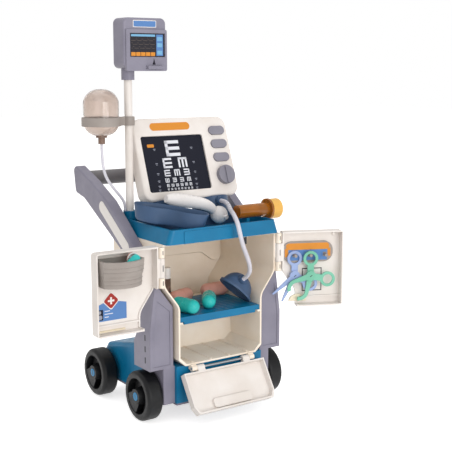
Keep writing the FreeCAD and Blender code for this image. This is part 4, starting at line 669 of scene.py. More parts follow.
@dataclass
class BreathingSet:
    """The hose from the stand's port over the tray's lip to the mask."""

    radius: float = 3.6
    route: tuple[Place, ...] = (
        (57, 84, 333), (57, 73, 333), (52, 57, 331), (43, 39, 328), (33, 21, 326), (25, 6, 326),
        (18, -9, 324), (15, -23, 314), (16, -28, 298), (21, -28, 280), (30, -26, 262), (40, -22, 244),
        (50.37, -7.93, 223.68), (48.77, 7.25, 214.15))

    def build(self) -> None:
        """Lay the hose."""
        lay_hose("breathing_hose", list(self.route), self.radius, "mask_hose")


@dataclass
class DripStand:
    """The drip tube from the bottle's nozzle to the pole's foot."""

    radius: float = 2.3
    route: tuple[Place, ...] = (
        (-137, 135, 433), (-137, 135, 415), (-136, 134, 396), (-131, 133, 378), (-120, 133, 363),
        (-109, 134, 351), (-100.5, 135, 341), (-96.75, 135, 331.5), (-96.75, 135, 322.5))

    def build(self) -> None:
        """Lay the drip tube."""
        lay_hose("drip_line", list(self.route), self.radius, "drip_tube")


class Turn(Enum):
    """Which way an E of the sight chart opens."""

    RIGHT = 0
    DOWN = 1
    LEFT = 2
    UP = 3


@dataclass
class ChartViewer:
    """The leaning viewer: its sight chart, row marks and bare title label, all in the viewer's frame."""

    lean: float = 20.0
    corner: Place = (15.0, 100.0, 339.0)
    left: float = -81.1
    low: float = 14.4
    wide: float = 119.6
    tall: float = 94.6
    card_face: float = 3.3
    ink: float = 0.12
    rows: tuple[tuple[float, float, tuple[float, ...]], ...] = (
        (0.225, 27.0, (0.49,)), (0.487, 17.0, (0.366, 0.613)), (0.665, 11.0, (0.336, 0.494, 0.65)),
        (0.795, 7.4, (0.315, 0.433, 0.55, 0.665)), (0.887, 5.0, (0.315, 0.388, 0.461, 0.534, 0.607, 0.68)),
        (0.955, 3.2, (0.31, 0.364, 0.418, 0.472, 0.526, 0.58, 0.634, 0.688)))
    turns: tuple[Turn, ...] = (Turn.RIGHT, Turn.RIGHT, Turn.DOWN, Turn.RIGHT, Turn.DOWN, Turn.LEFT)
    mark_shares: tuple[float, ...] = (0.2, 0.8)
    mark_slant_share: float = 0.006
    upper_mark: Pad = (4.6, 1.1, 0.5)
    lower_mark: Pad = (3.0, 0.8, 0.3)
    mark_drop: float = 2.2
    tag: Pad = (13.0, 5.4, 1.6)
    tag_shares: Pair = (0.15, 0.165)
    title: Pad = (77.0, 13.0, 6.4)
    title_spot: Pair = (-21.5, 124.5)
    title_thick: float = 0.35
    title_edge: float = 0.12

    def frame(self) -> Matrix:
        """Return the viewer's own frame."""
        return cart_frame(*self.corner) @ Matrix.Rotation(math.radians(-self.lean), 4, "X")

    def spot(self, across: float, down: float) -> Pair:
        """Return the viewer's x and z for shares across and down the window."""
        return self.left + across * self.wide, self.low + (1.0 - down) * self.tall

    def letter(self, size: float, turn: Turn) -> list[Outline]:
        """Return the bars of an E of a given size, opening one way.

        Args:
            size: Side of the square it fills.
            turn: Which way it opens.

        Returns:
            Four rectangles about the origin.
        """
        half, part = size / 2, size / 5
        bars = [box(-half, -half, part - half, half)]
        bars += [box(-half, k * part - half, half, (k + 1) * part - half) for k in (0, 2, 4)]
        angle = -turn.value * math.pi / 2
        cos, sin = round(math.cos(angle)), round(math.sin(angle))
        return [[(x * cos - z * sin, x * sin + z * cos) for x, z in bar] for bar in bars]

    def letters(self) -> list[Outline]:
        """Set every row of the chart: the first letters turned as listed, the rest in a fixed order.

        Returns:
            The bars of all letters.
        """
        bars: list[Outline] = []
        order = list(Turn)
        count = 0
        for down, size, places in self.rows:
            for across in places:
                x, z = self.spot(across, down)
                turn = self.turns[count] if count < len(self.turns) else order[(3 * count + count // 4) % 4]
                bars += [moved(bar, x, z) for bar in self.letter(size, turn)]
                count += 1
        return bars

    def printed(self, name: str, finish: Finish, outlines: list[Outline]) -> None:
        """Print one layer of ink on the chart card.

        Args:
            name: The piece's name.
            finish: Its ink.
            outlines: Its outlines.
        """
        mesh = plate_mesh(name, outlines, self.frame(), self.card_face, self.card_face - self.ink)
        new_piece(name, mesh, finish, "card")

    def build(self) -> None:
        """Print the chart on its card and stick the title label on the face."""
        self.printed("sight_chart", WHITE_INK, self.letters())
        marks: list[Outline] = []
        for index, (down, _, _) in enumerate(self.rows):
            for share in self.mark_shares:
                x, z = self.spot(share - self.mark_slant_share * index, down)
                marks.append(moved(rounded(*self.upper_mark, 3), x, z))
                marks.append(moved(rounded(*self.lower_mark, 3), x, z - self.mark_drop))
        self.printed("row_marks", PALE_INK, marks)
        self.printed("chart_tag", ORANGE_LABEL, [moved(rounded(*self.tag, 5), *self.spot(*self.tag_shares))])
        label = moved(rounded(*self.title, 10), *self.title_spot)
        mesh = plate_mesh("title_label", [label], self.frame(), 0.0, -self.title_thick, self.title_edge)
        new_piece("title_label", mesh, ORANGE_LABEL, "cart")


@dataclass
class VitalsMonitor:
    """The monitor on the pole: its screen film, traces, keys and bare plate."""

    left: float = -95.0
    right: float = -31.5
    low: float = 569.0
    high: float = 606.0
    face: float = 115.0
    front: float = 116.0
    film: float = 0.4
    film_corner: float = 1.5
    ink: float = 0.15
    field_ink: float = 0.12
    split_share: float = 0.76
    bar_in: float = 2.5
    bar_shares: Pair = (0.14, 0.05)
    key_in: float = 2.0
    key_gap: float = 0.5
    key_count: int = 5
    key_shares: Pair = (0.04, 0.2)
    column_in: float = 3.0
    field_in: float = 1.5
    field_tall_share: float = 0.17
    field_shares: tuple[float, ...] = (0.1, 0.42, 0.68)
    trace_in: float = 3.0
    trace_steps: int = 16
    trace_shares: tuple[float, ...] = (0.36, 0.52, 0.68)
    trace_beat: float = 2.2
    trace_line: float = 0.5
    trace_ink: float = 0.1
    plate: Box = (-88.0, 615.0, -46.0, 626.0)
    plate_rise: float = 0.3
    plate_corner: float = 1.2
    plate_rim: float = 1.0
    plate_field_corner: float = 0.9

    def plates(self, name: str, finish: Finish, boxes: list[Box], rise: float,
               depth: float, radius: float = 0.6) -> None:
        """Stick rounded plates on the monitor.

        Args:
            name: The piece's name.
            finish: Its finish.
            boxes: Left, low, right and high of each plate.
            rise: How far the plates stand out.
            depth: Depth of the face that they stand on.
            radius: Corner radius.
        """
        outlines = [moved(rounded(x1 - x0, z1 - z0, radius, 4), (x0 + x1) / 2, (z0 + z1) / 2)
                    for x0, z0, x1, z1 in boxes]
        new_piece(name, plate_mesh(name, outlines, cart_frame(), depth, depth - rise), finish, "monitor")

    def build(self) -> None:
        """Build the screen's layers and the bare plate."""
        left, right, low, high = self.left, self.right, self.low, self.high
        wide, tall, film = right - left, high - low, self.film
        shown = (left + film, low + film, right - film, high - film)
        self.plates("screen_film", SCREEN_FILM, [shown], film, self.face, self.film_corner)
        top = self.face - film
        split = left + self.split_share * wide
        bar_low, bar_high = (share * tall for share in self.bar_shares)
        bar = (left + self.bar_in, high - bar_low, split - self.key_in, high - bar_high)
        self.plates("screen_bar", SKY_LABEL, [bar], self.ink, top)
        start = left + self.key_in
        key = (split - start - self.key_in) / self.key_count
        key_low, key_high = (low + share * tall for share in self.key_shares)
        keys = [(start + i * key + self.key_gap, key_low, start + (i + 1) * key - self.key_gap, key_high)
                for i in range(self.key_count)]
        self.plates("screen_keys", ORANGE_LABEL, keys, self.ink, top)
        column = (split, low + bar_high, right - self.column_in, high - bar_high)
        self.plates("screen_column", BLUE_LABEL, [column], self.ink, top)
        fields = [(split + self.field_in, low + share * tall, right - self.column_in - self.field_in,
                   low + (share + self.field_tall_share) * tall) for share in self.field_shares]
        self.plates("column_fields", SKY_LABEL, fields, self.field_ink, top - self.ink)
        step = (split - left - 2 * self.trace_in) / self.trace_steps
        traces = []
        for row, share in enumerate(self.trace_shares):
            for i in range(self.trace_steps):
                x0 = left + self.trace_in + i * step
                z0 = low + share * tall + (self.trace_beat if (i + row) % 4 == 1 else 0.0)
                traces.append((x0, z0, x0 + step, z0 + self.trace_line))
        self.plates("screen_traces", TRACE_INK, traces, self.trace_ink, top, self.trace_ink)
        self.plates("name_plate", WHITE_LABEL, [self.plate], self.plate_rise, self.front, self.plate_corner)
        x0, z0, x1, z1 = self.plate
        rim = self.plate_rim
        self.plates("name_plate_field", BLUE_LABEL, [(x0 + rim, z0 + rim, x1 - rim, z1 - rim)], self.ink,
                    self.front - self.plate_rise, self.plate_field_corner)


@dataclass
class DoorPrint:
    """What both doors' inner faces share: layers given by distance from the hinge and by height."""

    side: int = -1
    body: str = "left_door"

    def layer(self, name: str, finish: Finish, outlines: list[Outline], low: float, high: float,
              slot: str = "cream_plastic", soft: float = 0.0) -> None:
        """Stick plates on the door's inner face.

        Args:
            name: The piece's name.
            finish: Its finish.
            outlines: Its outlines, as distance from the hinge and height.
            low: Height of its underside over the face.
            high: Height of its top over the face.
            slot: Not used.
            soft: Bevel of its rim.
        """
        shapes = [[(self.side * (HINGE_X - out), z) for out, z in outline] for outline in outlines]
        mesh = plate_mesh(name, shapes, door_frame(self.side), DOOR_FACE + low, DOOR_FACE + high, soft)
        new_piece(name, mesh, finish, self.body)


@dataclass
class LeftDoorPrint(DoorPrint):
    """The paper label inside the left door: a blue card with a plain cross sign."""

    card: tuple[Pair, ...] = (
        (107.5, 181.0), (107.5, 203.0), (93.0, 209.0), (68.0, 209.0), (54.0, 206.0), (54.0, 181.0))
    paper: float = 0.25
    ink: float = 0.12
    figure_ink: float = 0.08
    portrait_out: float = 99.0
    portrait_z: float = 191.0
    portrait: Pad = (11.0, 16.0, 0.8)
    head: Pad = (4.4, 5.0, 2.1)
    head_z: float = 195.0
    shoulders: Pad = (8.0, 6.5, 2.6)
    shoulders_z: float = 187.5
    lines_out: float = 91.0
    line_tall: float = 1.2
    line_corner: float = 0.5
    lines: tuple[Pair, ...] = ((9.0, 196.0), (14.0, 191.5), (7.0, 187.0))
    sign_spot: Pair = (80.0, 211.0)
    sign_layers: tuple[tuple[str, Finish, float, float, float], ...] = (
        ("sign_border", WHITE_LABEL, 20.5, 0.25, 0.45), ("cross_sign", RED_LABEL, 18.0, 0.45, 0.6))
    sign_corner: float = 3.2
    cross_reach: float = 5.4
    cross_half: float = 1.5

    def build(self) -> None:
        """Stick the label's layers on the door's inner face."""
        over = self.paper + self.ink
        self.layer("door_card", BLUE_LABEL, [list(self.card)], 0.0, self.paper)
        portrait = moved(rounded(*self.portrait, 4), self.portrait_out, self.portrait_z)
        self.layer("card_portrait", NAVY_CARD, [portrait], self.paper, over)
        figure = [moved(rounded(*self.head, 6), self.portrait_out, self.head_z),
                  moved(rounded(*self.shoulders, 6), self.portrait_out, self.shoulders_z)]
        self.layer("card_figure", PALE_INK, figure, over, over + self.figure_ink)
        lines = [moved(rounded(wide, self.line_tall, self.line_corner, 3), self.lines_out - wide / 2, z)
                 for wide, z in self.lines]
        self.layer("card_lines", WHITE_INK, lines, self.paper, over)
        turn = math.sqrt(0.5)
        for name, finish, side, low, high in self.sign_layers:
            diamond = [(turn * (a - b), turn * (a + b)) for a, b in rounded(side, side, self.sign_corner, 6)]
            self.layer(name, finish, [moved(diamond, *self.sign_spot)], low, high)
        arm, half = self.cross_reach, self.cross_half
        bars = [box(-arm, -half, arm, half), box(-half, half, half, arm), box(-half, -arm, half, -half)]
        top = self.sign_layers[-1][-1]
        bars = [moved(bar, *self.sign_spot) for bar in bars]
        self.layer("cross_arms", WHITE_LABEL, bars, top, top + self.ink)


@dataclass
class RightDoorPrint(DoorPrint):
    """The right door's inner face: the hanger's bands, the ruled frame, the half-round ledge and a boss."""

    side: int = 1
    body: str = "right_door"
    hanger: float = 3.0
    band: float = 0.2
    end_band: float = 0.15
    pegs: tuple[float, ...] = (30.0, 56.0, 82.0)
    peg_room: float = 3.2
    upper_band: Pad = (74.0, 11.0, 5.0)
    upper_spot: Pair = (52.5, 259.5)
    ends: tuple[Box, ...] = (
        (13.5, 242.0, 19.0, 256.0), (87.0, 242.0, 92.0, 256.0))
    strip_in: float = 20.0
    strip_out: float = 86.0
    strip_heights: tuple[float, ...] = (236.0, 241.8, 249.0, 253.6)
    ruled: Box = (44.0, 183.0, 78.0, 222.0)
    rule: float = 1.5
    rule_ink: float = 0.15
    ledge_spot: Pair = (36.0, 167.0)
    ledge_half: float = 15.0
    ledge_tall: float = 12.0
    ledge_steps: int = 24
    ledge_rise: float = 4.0
    ledge_soft: float = 1.2
    boss: Pad = (6.0, 6.0, 2.9)
    boss_spot: Pair = (97.5, 279.0)
    boss_rise: float = 2.5
    boss_soft: float = 0.6

    def build(self) -> None:
        """Stick the bands clear of the pegs, then the frame, the ledge and the boss."""
        top, over, slot = self.hanger, self.hanger + self.band, "hanger_plastic"
        upper = moved(rounded(*self.upper_band, 8), *self.upper_spot)
        self.layer("hanger_upper_band", ORANGE_LABEL, [upper], top, over, slot)
        ends = [box(*end) for end in self.ends]
        self.layer("hanger_end_bands", ORANGE_LABEL, ends, top, top + self.end_band, slot)
        z0, z1, z2, z3 = self.strip_heights
        strips = [box(self.strip_in, z2, self.strip_out, z3), box(self.strip_in, z0, self.strip_out, z1)]
        edges = [peg + side * self.peg_room for peg in self.pegs for side in (-1, 1)]
        edges = [self.strip_in, *edges, self.strip_out]
        strips += [box(a, z1, b, z2) for a, b in zip(edges[::2], edges[1::2])]
        self.layer("hanger_lower_band", BLUE_LABEL, strips, top, over, slot)
        left, low, right, high = self.ruled
        line = self.rule
        frame = [box(left, low, right, low + line), box(left, high - line, right, high),
                 box(left, low + line, left + line, high - line),
                 box(right - line, low + line, right, high - line)]
        self.layer("ruled_frame", NAVY_CARD, frame, 0.0, self.rule_ink)
        turns = [math.pi * i / self.ledge_steps for i in range(self.ledge_steps + 1)]
        crest = moved([(self.ledge_half * math.cos(t), self.ledge_tall * math.sin(t)) for t in turns],
                      *self.ledge_spot)
        # The ledge's straw tint is painted warm shade.
        self.layer("half_round_ledge", LEDGE_ABS, [crest], 0.0, self.ledge_rise, soft=self.ledge_soft)
        boss = moved(rounded(*self.boss, 6), *self.boss_spot)
        self.layer("corner_boss", CREAM_ABS, [boss], 0.0, self.boss_rise, soft=self.boss_soft)


@dataclass
class Hinges:
    """The moulded slots in the hinge knuckles, each shown by a dark plate of painted shade."""

    radius: float = 5.0
    sunk: float = 0.3
    proud: float = 0.05
    slot_wide: float = 1.3
    slot_corner: float = 0.6
    heights: tuple[float, float, float] = (230.0, 253.0, 277.0)
    talls: tuple[float, float, float] = (7.0, 10.0, 7.0)

    def build(self) -> None:
        """Put a dark plate of painted shade in one slot on each knuckle that faces the front; the middle
        knuckle is the cart's.
        """
        for side, hand in HANDS:
            bodies = (f"{hand}_door", "cart", f"{hand}_door")
            for index, (body, z, tall) in enumerate(zip(bodies, self.heights, self.talls)):
                name = f"hinge_slot_{hand}_{index + 1}"
                mesh = plate_mesh(name, [rounded(self.slot_wide, tall, self.slot_corner, 4)],
                                  cart_frame(side * HINGE_X, HINGE_DEPTH, z), self.sunk - self.radius,
                                  -self.radius - self.proud)
                # A dark plate of painted shade in the knuckle's slot.
                new_piece(name, mesh, DARK_ABS_AND_SLOT_SHADE, body)


@dataclass
class Instruments:
    """Small details on the loose instruments: pivot screws with dark slots of painted shade, the mirror's
    glass, the vial's liquid.
    """

    pivots: tuple[tuple[str, str, Finish, float, float], ...] = (
        ("scissors", "lilac_plastic", LILAC_ABS, 81.5, -7.1),
        ("forceps", "green_plastic", GREEN_ABS, 55.5, -1.2))
    pivot_z: float = 211.0
    screw_r: float = 5.6
    screw_sides: int = 32
    screw_rise: float = 0.18
    screw_slot: Pad = (5.0, 1.2, 0.5)
    screw_slot_rise: float = 0.06
    screw_turn: float = 0.6
    mirror_foot: Place = (-53.5, 3.5, 240.0)
    mirror_lean: float = -9.0
    mirror_rise: float = 34.5
    mirror_face: float = 1.0
    mirror_r: float = 10.0
    glass_r: float = 8.0
    rim_rise: float = 0.3
    glass_rise: float = 0.15
    vial: Place = (-42.0, 100.0, 169.0)
    vial_r: float = 7.5
    liquid_skin: float = 0.2
    liquid_low: float = 4.0
    liquid_high: float = 41.0

    def build(self) -> None:
        """Build the screws, the glass and the liquid."""
        for name, slot, finish, x, depth in self.pivots:
            body, screw, cut = f"{name}_half", f"{name}_screw", f"{name}_screw_slot"
            frame = door_frame(1) @ Matrix.Translation((x * MM, depth * MM, self.pivot_z * MM))
            turns = [2 * math.pi * i / self.screw_sides for i in range(self.screw_sides)]
            head = [(self.screw_r * math.cos(t), self.screw_r * math.sin(t)) for t in turns]
            new_piece(screw, plate_mesh(screw, [head], frame, 0.0, self.screw_rise), finish, body)
            # The dark plate across the screw head is painted shade in its slot.
            turned = frame @ Matrix.Rotation(self.screw_turn, 4, "Y")
            mesh = plate_mesh(cut, [rounded(*self.screw_slot, 4)], turned, self.screw_rise,
                              self.screw_rise + self.screw_slot_rise)
            new_piece(cut, mesh, DARK_ABS_AND_SLOT_SHADE, body)
        foot = door_frame(-1) @ Matrix.Translation([v * MM for v in self.mirror_foot])
        stem = foot @ Matrix.Rotation(math.radians(self.mirror_lean), 4, "Y")
        head = stem @ Matrix.Translation((0, 0, self.mirror_rise * MM))
        disc = head @ Matrix.Rotation(math.radians(-90), 4, "X")
        face = self.mirror_face
        rim = box(self.glass_r, face, self.mirror_r, face + self.rim_rise)
        new_piece("mirror_rim", lathe_mesh("mirror_rim", rim, disc), WHITE_ABS, "mirror")
        glass = box(0.0, face, self.glass_r, face + self.glass_rise)
        mesh = lathe_mesh("mirror_glass", glass, disc)
        new_piece("mirror_glass", mesh, MIRROR_FOIL, "mirror")
        sleeve = box(self.vial_r, self.liquid_low, self.vial_r + self.liquid_skin, self.liquid_high)
        mesh = lathe_mesh("vial_sleeve", sleeve, cart_frame(*self.vial))
        new_piece("vial_sleeve", mesh, BROWN_ABS, "vial")


@dataclass
class BasketBeads:
    """The basket's raised bands, each along the bow of its front, placed as on the closed left door."""

    left: float = -73.5
    right: float = -5.5
    deep: float = 46.0
    shoulder_share: float = 0.62
    draft: float = 6.0
    tier_step: float = 1.4
    low: float = 236.0
    tier: float = 254.0
    high: float = 276.0
    heights: tuple[float, ...] = (241.0, 247.5, 260.0, 266.5)
    profile: tuple[Pair, ...] = ((-0.4, -0.9), (0.6, -0.5), (0.6, 0.5), (-0.4, 0.9))
    half_steps: int = 16

    def lean(self, z: float) -> float:
        """Return how far the basket's front has come in at a height.

        Args:
            z: The height.

        Returns:
            The draft there.
        """
        if z > self.tier:
            return self.draft / 2 * (self.high - z) / (self.high - self.tier)
        rise = (z - self.low) / (self.tier - self.low)
        return self.draft + rise * (self.tier_step - self.draft / 2)

    def build(self) -> None:
        """Sweep each band's profile along the bow."""
        shape = bmesh.new()
        middle = (self.left + self.right) / 2
        for z in self.heights:
            lean = self.lean(z)
            far = DOOR_FACE + self.deep - lean
            half = (self.right - self.left - lean) / 2
            sag = (1.0 - self.shoulder_share) * (far - DOOR_FACE)
            bow = (half * half + sag * sag) / (2 * sag)
            reach = math.atan2(half, bow - sag)
            rings = []
            for i in range(2 * self.half_steps + 1):
                turn = reach * (i / self.half_steps - 1.0)
                cos, sin = math.cos(turn) * MM, math.sin(turn) * MM
                ring = [((bow + out) * sin + middle * MM, (bow + out) * cos + (far - bow) * MM, (z + up) * MM)
                        for out, up in self.profile]
                rings.append([shape.verts.new(point) for point in ring])
            skin_rings(shape, rings)
        mesh = mesh_from(shape, "basket_beads", door_frame(-1))
        new_piece("basket_beads", mesh, WARM_GREY_ABS, "left_door")


@dataclass
class KidneyDish:
    """The kidney dish: a soft-based bean bowl with a rolled rim, at its place on the tray.

    Its two profiles are shares of the bean's size and of the height, from the floor up and down again inside.
    """

    long: float = 118.0
    wide: float = 50.0
    tall: float = 26.0
    place: Place = (-72.0, 38.0, 311.0)
    turn: float = -36.6
    tilt: float = 9.0
    points: int = 96
    end_power: float = 0.78
    side_power: float = 0.72
    dip_long_share: float = 0.36
    front_dip_share: float = 0.36
    back_dip_share: float = 0.05
    centre_share: float = 0.1
    outer_shares: tuple[Pair, ...] = (
        (0.0, 0.0), (0.5, 0.0), (0.8, 0.0), (0.86, 0.02), (0.9, 0.08), (0.925, 0.18), (0.945, 0.4),
        (0.97, 0.7), (1.0, 0.96), (1.0, 1.0))
    inner_shares: tuple[Pair, ...] = (
        (0.985, 1.0), (0.965, 0.96), (0.935, 0.7), (0.91, 0.4), (0.885, 0.22), (0.84, 0.13), (0.76, 0.1),
        (0.5, 0.1), (0.0, 0.1))

    def bean(self) -> Outline:
        """Draw the bean's outline at full size, a stadium pressed in along its front.

        Returns:
            Points in order, anticlockwise from the right end.
        """
        half, girth = self.long / 2, self.wide / 2
        points: Outline = []
        for i in range(self.points):
            t = 2 * math.pi * i / self.points
            x = half * math.copysign(abs(math.cos(t)) ** self.end_power, math.cos(t))
            y = girth * math.copysign(abs(math.sin(t)) ** self.side_power, math.sin(t))
            dip = girth * math.exp(-(x / (self.dip_long_share * half)) ** 2) * abs(math.sin(t))
            points.append((x, y + dip * (self.front_dip_share if y < 0 else self.back_dip_share)))
        return points

    def build(self) -> None:
        """Loft the bowl's skin from its floor over the rim and back to the floor inside."""
        shape = bmesh.new()
        bean = self.bean()
        rows = []
        for share, rise in self.outer_shares + self.inner_shares:
            z = rise * self.tall * MM
            ring = [(x * share * MM, y * share * MM) for x, y in bean]
            if share == 0.0:
                ring = [(0.0, self.centre_share * self.wide * MM)]
            rows.append([shape.verts.new((x, y, z)) for x, y in ring])
        for low, high in zip(rows, rows[1:]):
            for i in range(len(bean)):
                j = (i + 1) % len(bean)
                if len(low) == 1:
                    shape.faces.new((low[0], high[j], high[i]))
                elif len(high) == 1:
                    shape.faces.new((low[i], low[j], high[0]))
                else:
                    shape.faces.new((low[i], low[j], high[j], high[i]))
        turned = cart_frame(*self.place) @ Matrix.Rotation(math.radians(self.turn), 4, "Z")
        frame = turned @ Matrix.Rotation(math.radians(self.tilt), 4, "Y")
        mesh = mesh_from(shape, "bean_dish", frame, smooth=True)
        dish = new_piece("bean_dish", mesh, SLATE_ABS, "dish")
        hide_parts("kidney_dish")


@dataclass
class Wheels:
    """The wheels' one wide spoke, from hub to rim, and a dark plate of painted shade in the slot across each
    axle cap.
    """

    face: float = 131.0
    sunk: float = 0.7
    dish: float = 12.0
    hub: float = 12.3
    rim: float = 28.4
    rim_arc: tuple[float, float, int] = (185.0, 77.0, 12)
    hub_arc: tuple[float, float, int] = (300.0, -150.0, 16)
    axle_z: float = 40.0
    depths: tuple[tuple[str, float], ...] = (("front", 46.0), ("rear", 194.0))
    cap_face: float = 133.4
    cap_slot: Pad = (1.5, 9.0, 0.7)
    slot_sunk: float = 0.5
    slot_proud: float = 0.08

    def spoke(self) -> Outline:
        """Draw the spoke: an arc at the rim and a wider one round the hub.

        Returns:
            Points in order.
        """
        points: Outline = []
        for radius, (start, sweep, steps) in ((self.rim, self.rim_arc), (self.hub, self.hub_arc)):
            turns = [math.radians(start + sweep * i / steps) for i in range(steps + 1)]
            points += [(radius * math.cos(t), radius * math.sin(t)) for t in turns]
        return points

    def build(self) -> None:
        """Build four spokes and four dark plates of painted shade in the cap slots."""
        for side, hand in HANDS:
            for end, depth in self.depths:
                name = f"{end}_{hand}_spoke"
                mesh = plate_mesh(name, [self.spoke()], side_frame(side * self.face, depth, self.axle_z),
                                  -side * self.dish, -side * self.sunk)
                new_piece(name, mesh, WHEEL_PE, f"{end}_{hand}_wheel")
                # A dark plate of painted shade in the slot across the axle cap.
                name = f"{end}_{hand}_cap_slot"
                cap = side_frame(side * self.cap_face, depth, self.axle_z)
                mesh = plate_mesh(name, [rounded(*self.cap_slot, 4)], cap, -side * self.slot_sunk,
                                  side * self.slot_proud)
                new_piece(name, mesh, DARK_ABS_AND_SLOT_SHADE, "cart")


@dataclass
class Mouldings:
    """Small raised and sunk forms: the back wall's step, the columns' gills as dark plates of painted shade,
    the left door's second rib with a straw tint of painted warm shade.
    """

    back: float = 155.0
    step: tuple[Pair, ...] = (
        (-98, 280), (99, 280), (99, 217), (88, 217), (82, 219), (64, 234), (58, 236), (-98, 236))
    step_thick: float = 4.0
    step_edge: float = 1.5
    gills: tuple[float, ...] = (103.5, 121.5, 139.5)
    gill: Pad = (3.4, 10.0, 1.5)
    gill_x: float = 126.0
    gill_depth: float = 25.0
    gill_sunk: float = 0.5
    gill_proud: float = 0.08
    rib: tuple[Pair, ...] = ((-0.4, -1.4), (-0.4, 1.4), (3.2, 1.0), (3.2, -1.0))
    rib_ends: Pair = (58.0, 106.0)
    rib_z: float = 165.5

    def build(self) -> None:
        """Build the step, the gills and the rib."""
        mesh = plate_mesh("back_wall_step", [list(self.step)], cart_frame(), self.back,
                          self.back - self.step_thick, self.step_edge)
        # The step takes the cabinet's cream with its painted warm bounce light.
        new_piece("back_wall_step", mesh, CABINET_ABS, "cart")
        # Each gill is a dark plate of painted shade in a slot on the column's side.
        slots = [moved(rounded(*self.gill, 5), 0.0, z) for z in self.gills]
        for side, hand in HANDS:
            name = f"{hand}_column_gill_painted_shade"
            mesh = plate_mesh(name, slots, side_frame(side * self.gill_x, self.gill_depth, 0.0),
                              -side * self.gill_sunk, side * self.gill_proud)
            new_piece(name, mesh, DARK_ABS_AND_SLOT_SHADE, "cart")
        shape = bmesh.new()
        rings = [[shape.verts.new(((out - HINGE_X) * MM, (DOOR_FACE + rise) * MM, (self.rib_z + z) * MM))
                  for rise, z in self.rib] for out in self.rib_ends]
        skin_rings(shape, rings)
        mesh = mesh_from(shape, "left_door_rib", door_frame(-1))
        # The rib's straw tint is painted warm shade.
        new_piece("left_door_rib", mesh, LEDGE_ABS, "left_door")


@dataclass
class HandleLabels:
    """The bare stadium labels on the outer sides of the handle's arms; their ends are depth and height."""

    face: float = 125.0
    low: Pair = (75.0, 268.0)
    high: Pair = (170.0, 333.0)
    wide: float = 19.0
    corner_share: float = 0.49
    thick: float = 0.3
    edge: float = 0.1

    def build(self) -> None:
        """Stick one label on each arm."""
        along = Vector(self.high) - Vector(self.low)
        middle = (Vector(self.high) + Vector(self.low)) / 2
        outline = rounded(along.length, self.wide, self.corner_share * self.wide, 10)
        for side, hand in HANDS:
            place = cart_frame(side * self.face, middle.x, middle.y)
            lean = place @ Matrix.Rotation(math.atan2(along.y, along.x), 4, "X")
            frame = lean @ Matrix.Rotation(math.radians(90), 4, "Z")
            name = f"arm_label_{hand}"
            mesh = plate_mesh(name, [outline], frame, 0.0, -side * self.thick, self.edge)
            new_piece(name, mesh, WHITE_LABEL, "cart")


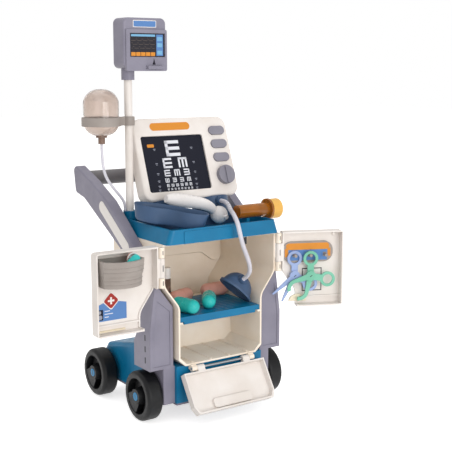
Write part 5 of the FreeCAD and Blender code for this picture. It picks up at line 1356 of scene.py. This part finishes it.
@dataclass
class Studio:
    """The pale floor, soft lights and the camera, in metres and degrees."""

    lens: float = 76.05
    sensor: float = 36.0
    place: Place = (-0.8346, -1.3291, 0.5507)
    pitch: float = 9.357
    heading: float = -34.599
    paper: str = "#f4f3f2"
    floor_half: float = 9.0
    floor_glow: float = 0.62
    even_light: float = 0.84
    aim: Place = (0.0, 0.0, 0.3)
    lamps: tuple[tuple[str, Place, float, float], ...] = (
        ("key_softbox", (-1.2, -1.7, 1.9), 1.6, 6.0), ("front_softbox", (0.0, -2.3, 0.35), 1.6, 27.0),
        ("top_softbox", (0.1, 0.5, 2.4), 1.8, 9.0))

    def build(self) -> None:
        """Build the floor, the world, the lamps and the camera."""
        self.floor()
        self.world()
        for name, place, size, watts in self.lamps:
            self.lamp(name, place, size, watts)
        camera = bpy.data.objects.new("camera", bpy.data.cameras.new("camera"))
        camera.data.lens = self.lens
        camera.data.sensor_width = self.sensor
        camera.location = self.place
        camera.rotation_euler = (math.radians(90.0 - self.pitch), 0.0, math.radians(self.heading))
        bpy.context.scene.collection.objects.link(camera)
        bpy.context.scene.camera = camera
        bpy.context.scene.view_settings.view_transform = "Standard"

    def floor(self) -> None:
        """Build the pale floor, white to the camera and with the trolley's shadow."""
        shape = bmesh.new()
        bmesh.ops.create_grid(shape, x_segments=2, y_segments=2, size=self.floor_half)
        mesh = bpy.data.meshes.new("floor")
        shape.to_mesh(mesh)
        shape.free()
        floor = bpy.data.objects.new("floor", mesh)
        bpy.context.scene.collection.objects.link(floor)
        material = bpy.data.materials.new("pale_studio_paper")
        material.use_nodes = True
        tree = material.node_tree
        tree.nodes.clear()
        paper = add_node(tree, "ShaderNodeBsdfDiffuse", values={"Color": linear(self.paper)})
        glow = add_node(tree, "ShaderNodeEmission", values={"Color": WHITE, "Strength": self.floor_glow})
        path = add_node(tree, "ShaderNodeLightPath")
        seen = add_node(tree, "ShaderNodeMath", {"operation": "MAXIMUM"},
                        links={0: (path, "Is Camera Ray"), 1: (path, "Is Glossy Ray")})
        seen = add_node(tree, "ShaderNodeMath", {"operation": "MAXIMUM"},
                        links={0: (seen, "Value"), 1: (path, "Is Transmission Ray")})
        both = add_node(tree, "ShaderNodeAddShader", links={0: (paper, "BSDF"), 1: (glow, "Emission")})
        pick = add_node(tree, "ShaderNodeMixShader",
                        links={0: (seen, "Value"), 1: (paper, "BSDF"), 2: (both, "Shader")})
        add_node(tree, "ShaderNodeOutputMaterial", links={"Surface": (pick, "Shader")})
        mesh.materials.append(material)

    def world(self) -> None:
        """Set the even studio light and the white backdrop."""
        world = bpy.data.worlds.new("studio")
        world.use_nodes = True
        tree = world.node_tree
        tree.nodes.clear()
        even = add_node(tree, "ShaderNodeBackground",
                        values={"Color": linear(self.paper), "Strength": self.even_light})
        white = add_node(tree, "ShaderNodeBackground", values={"Color": WHITE, "Strength": 1.0})
        path = add_node(tree, "ShaderNodeLightPath")
        seen = add_node(tree, "ShaderNodeMath", {"operation": "MAXIMUM"},
                        links={0: (path, "Is Camera Ray"), 1: (path, "Is Transmission Ray")})
        pick = add_node(tree, "ShaderNodeMixShader",
                        links={0: (seen, "Value"), 1: (even, "Background"), 2: (white, "Background")})
        add_node(tree, "ShaderNodeOutputWorld", links={"Surface": (pick, "Shader")})
        bpy.context.scene.world = world

    def lamp(self, name: str, place: Place, size: float, watts: float) -> None:
        """Hang a square soft box that faces the trolley.

        Args:
            name: The lamp's name.
            place: Where it hangs.
            size: Its side.
            watts: Its power.
        """
        light = bpy.data.lights.new(name, "AREA")
        light.size = size
        light.energy = watts
        item = bpy.data.objects.new(name, light)
        item.location = place
        item.rotation_euler = (Vector(self.aim) - Vector(place)).to_track_quat("-Z", "Y").to_euler()
        bpy.context.scene.collection.objects.link(item)


def main() -> None:
    """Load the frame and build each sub-assembly in order."""
    logging.basicConfig(level=logging.INFO, format="%(message)s")
    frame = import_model()
    Studio().build()
    BreathingSet().build()
    DripStand().build()
    MouldedBody().dress(frame["nodes"])
    ChartViewer().build()
    VitalsMonitor().build()
    LeftDoorPrint().build()
    RightDoorPrint().build()
    Hinges().build()
    Instruments().build()
    BasketBeads().build()
    KidneyDish().build()
    Wheels().build()
    Mouldings().build()
    HandleLabels().build()


if __name__ == "__main__":
    main()
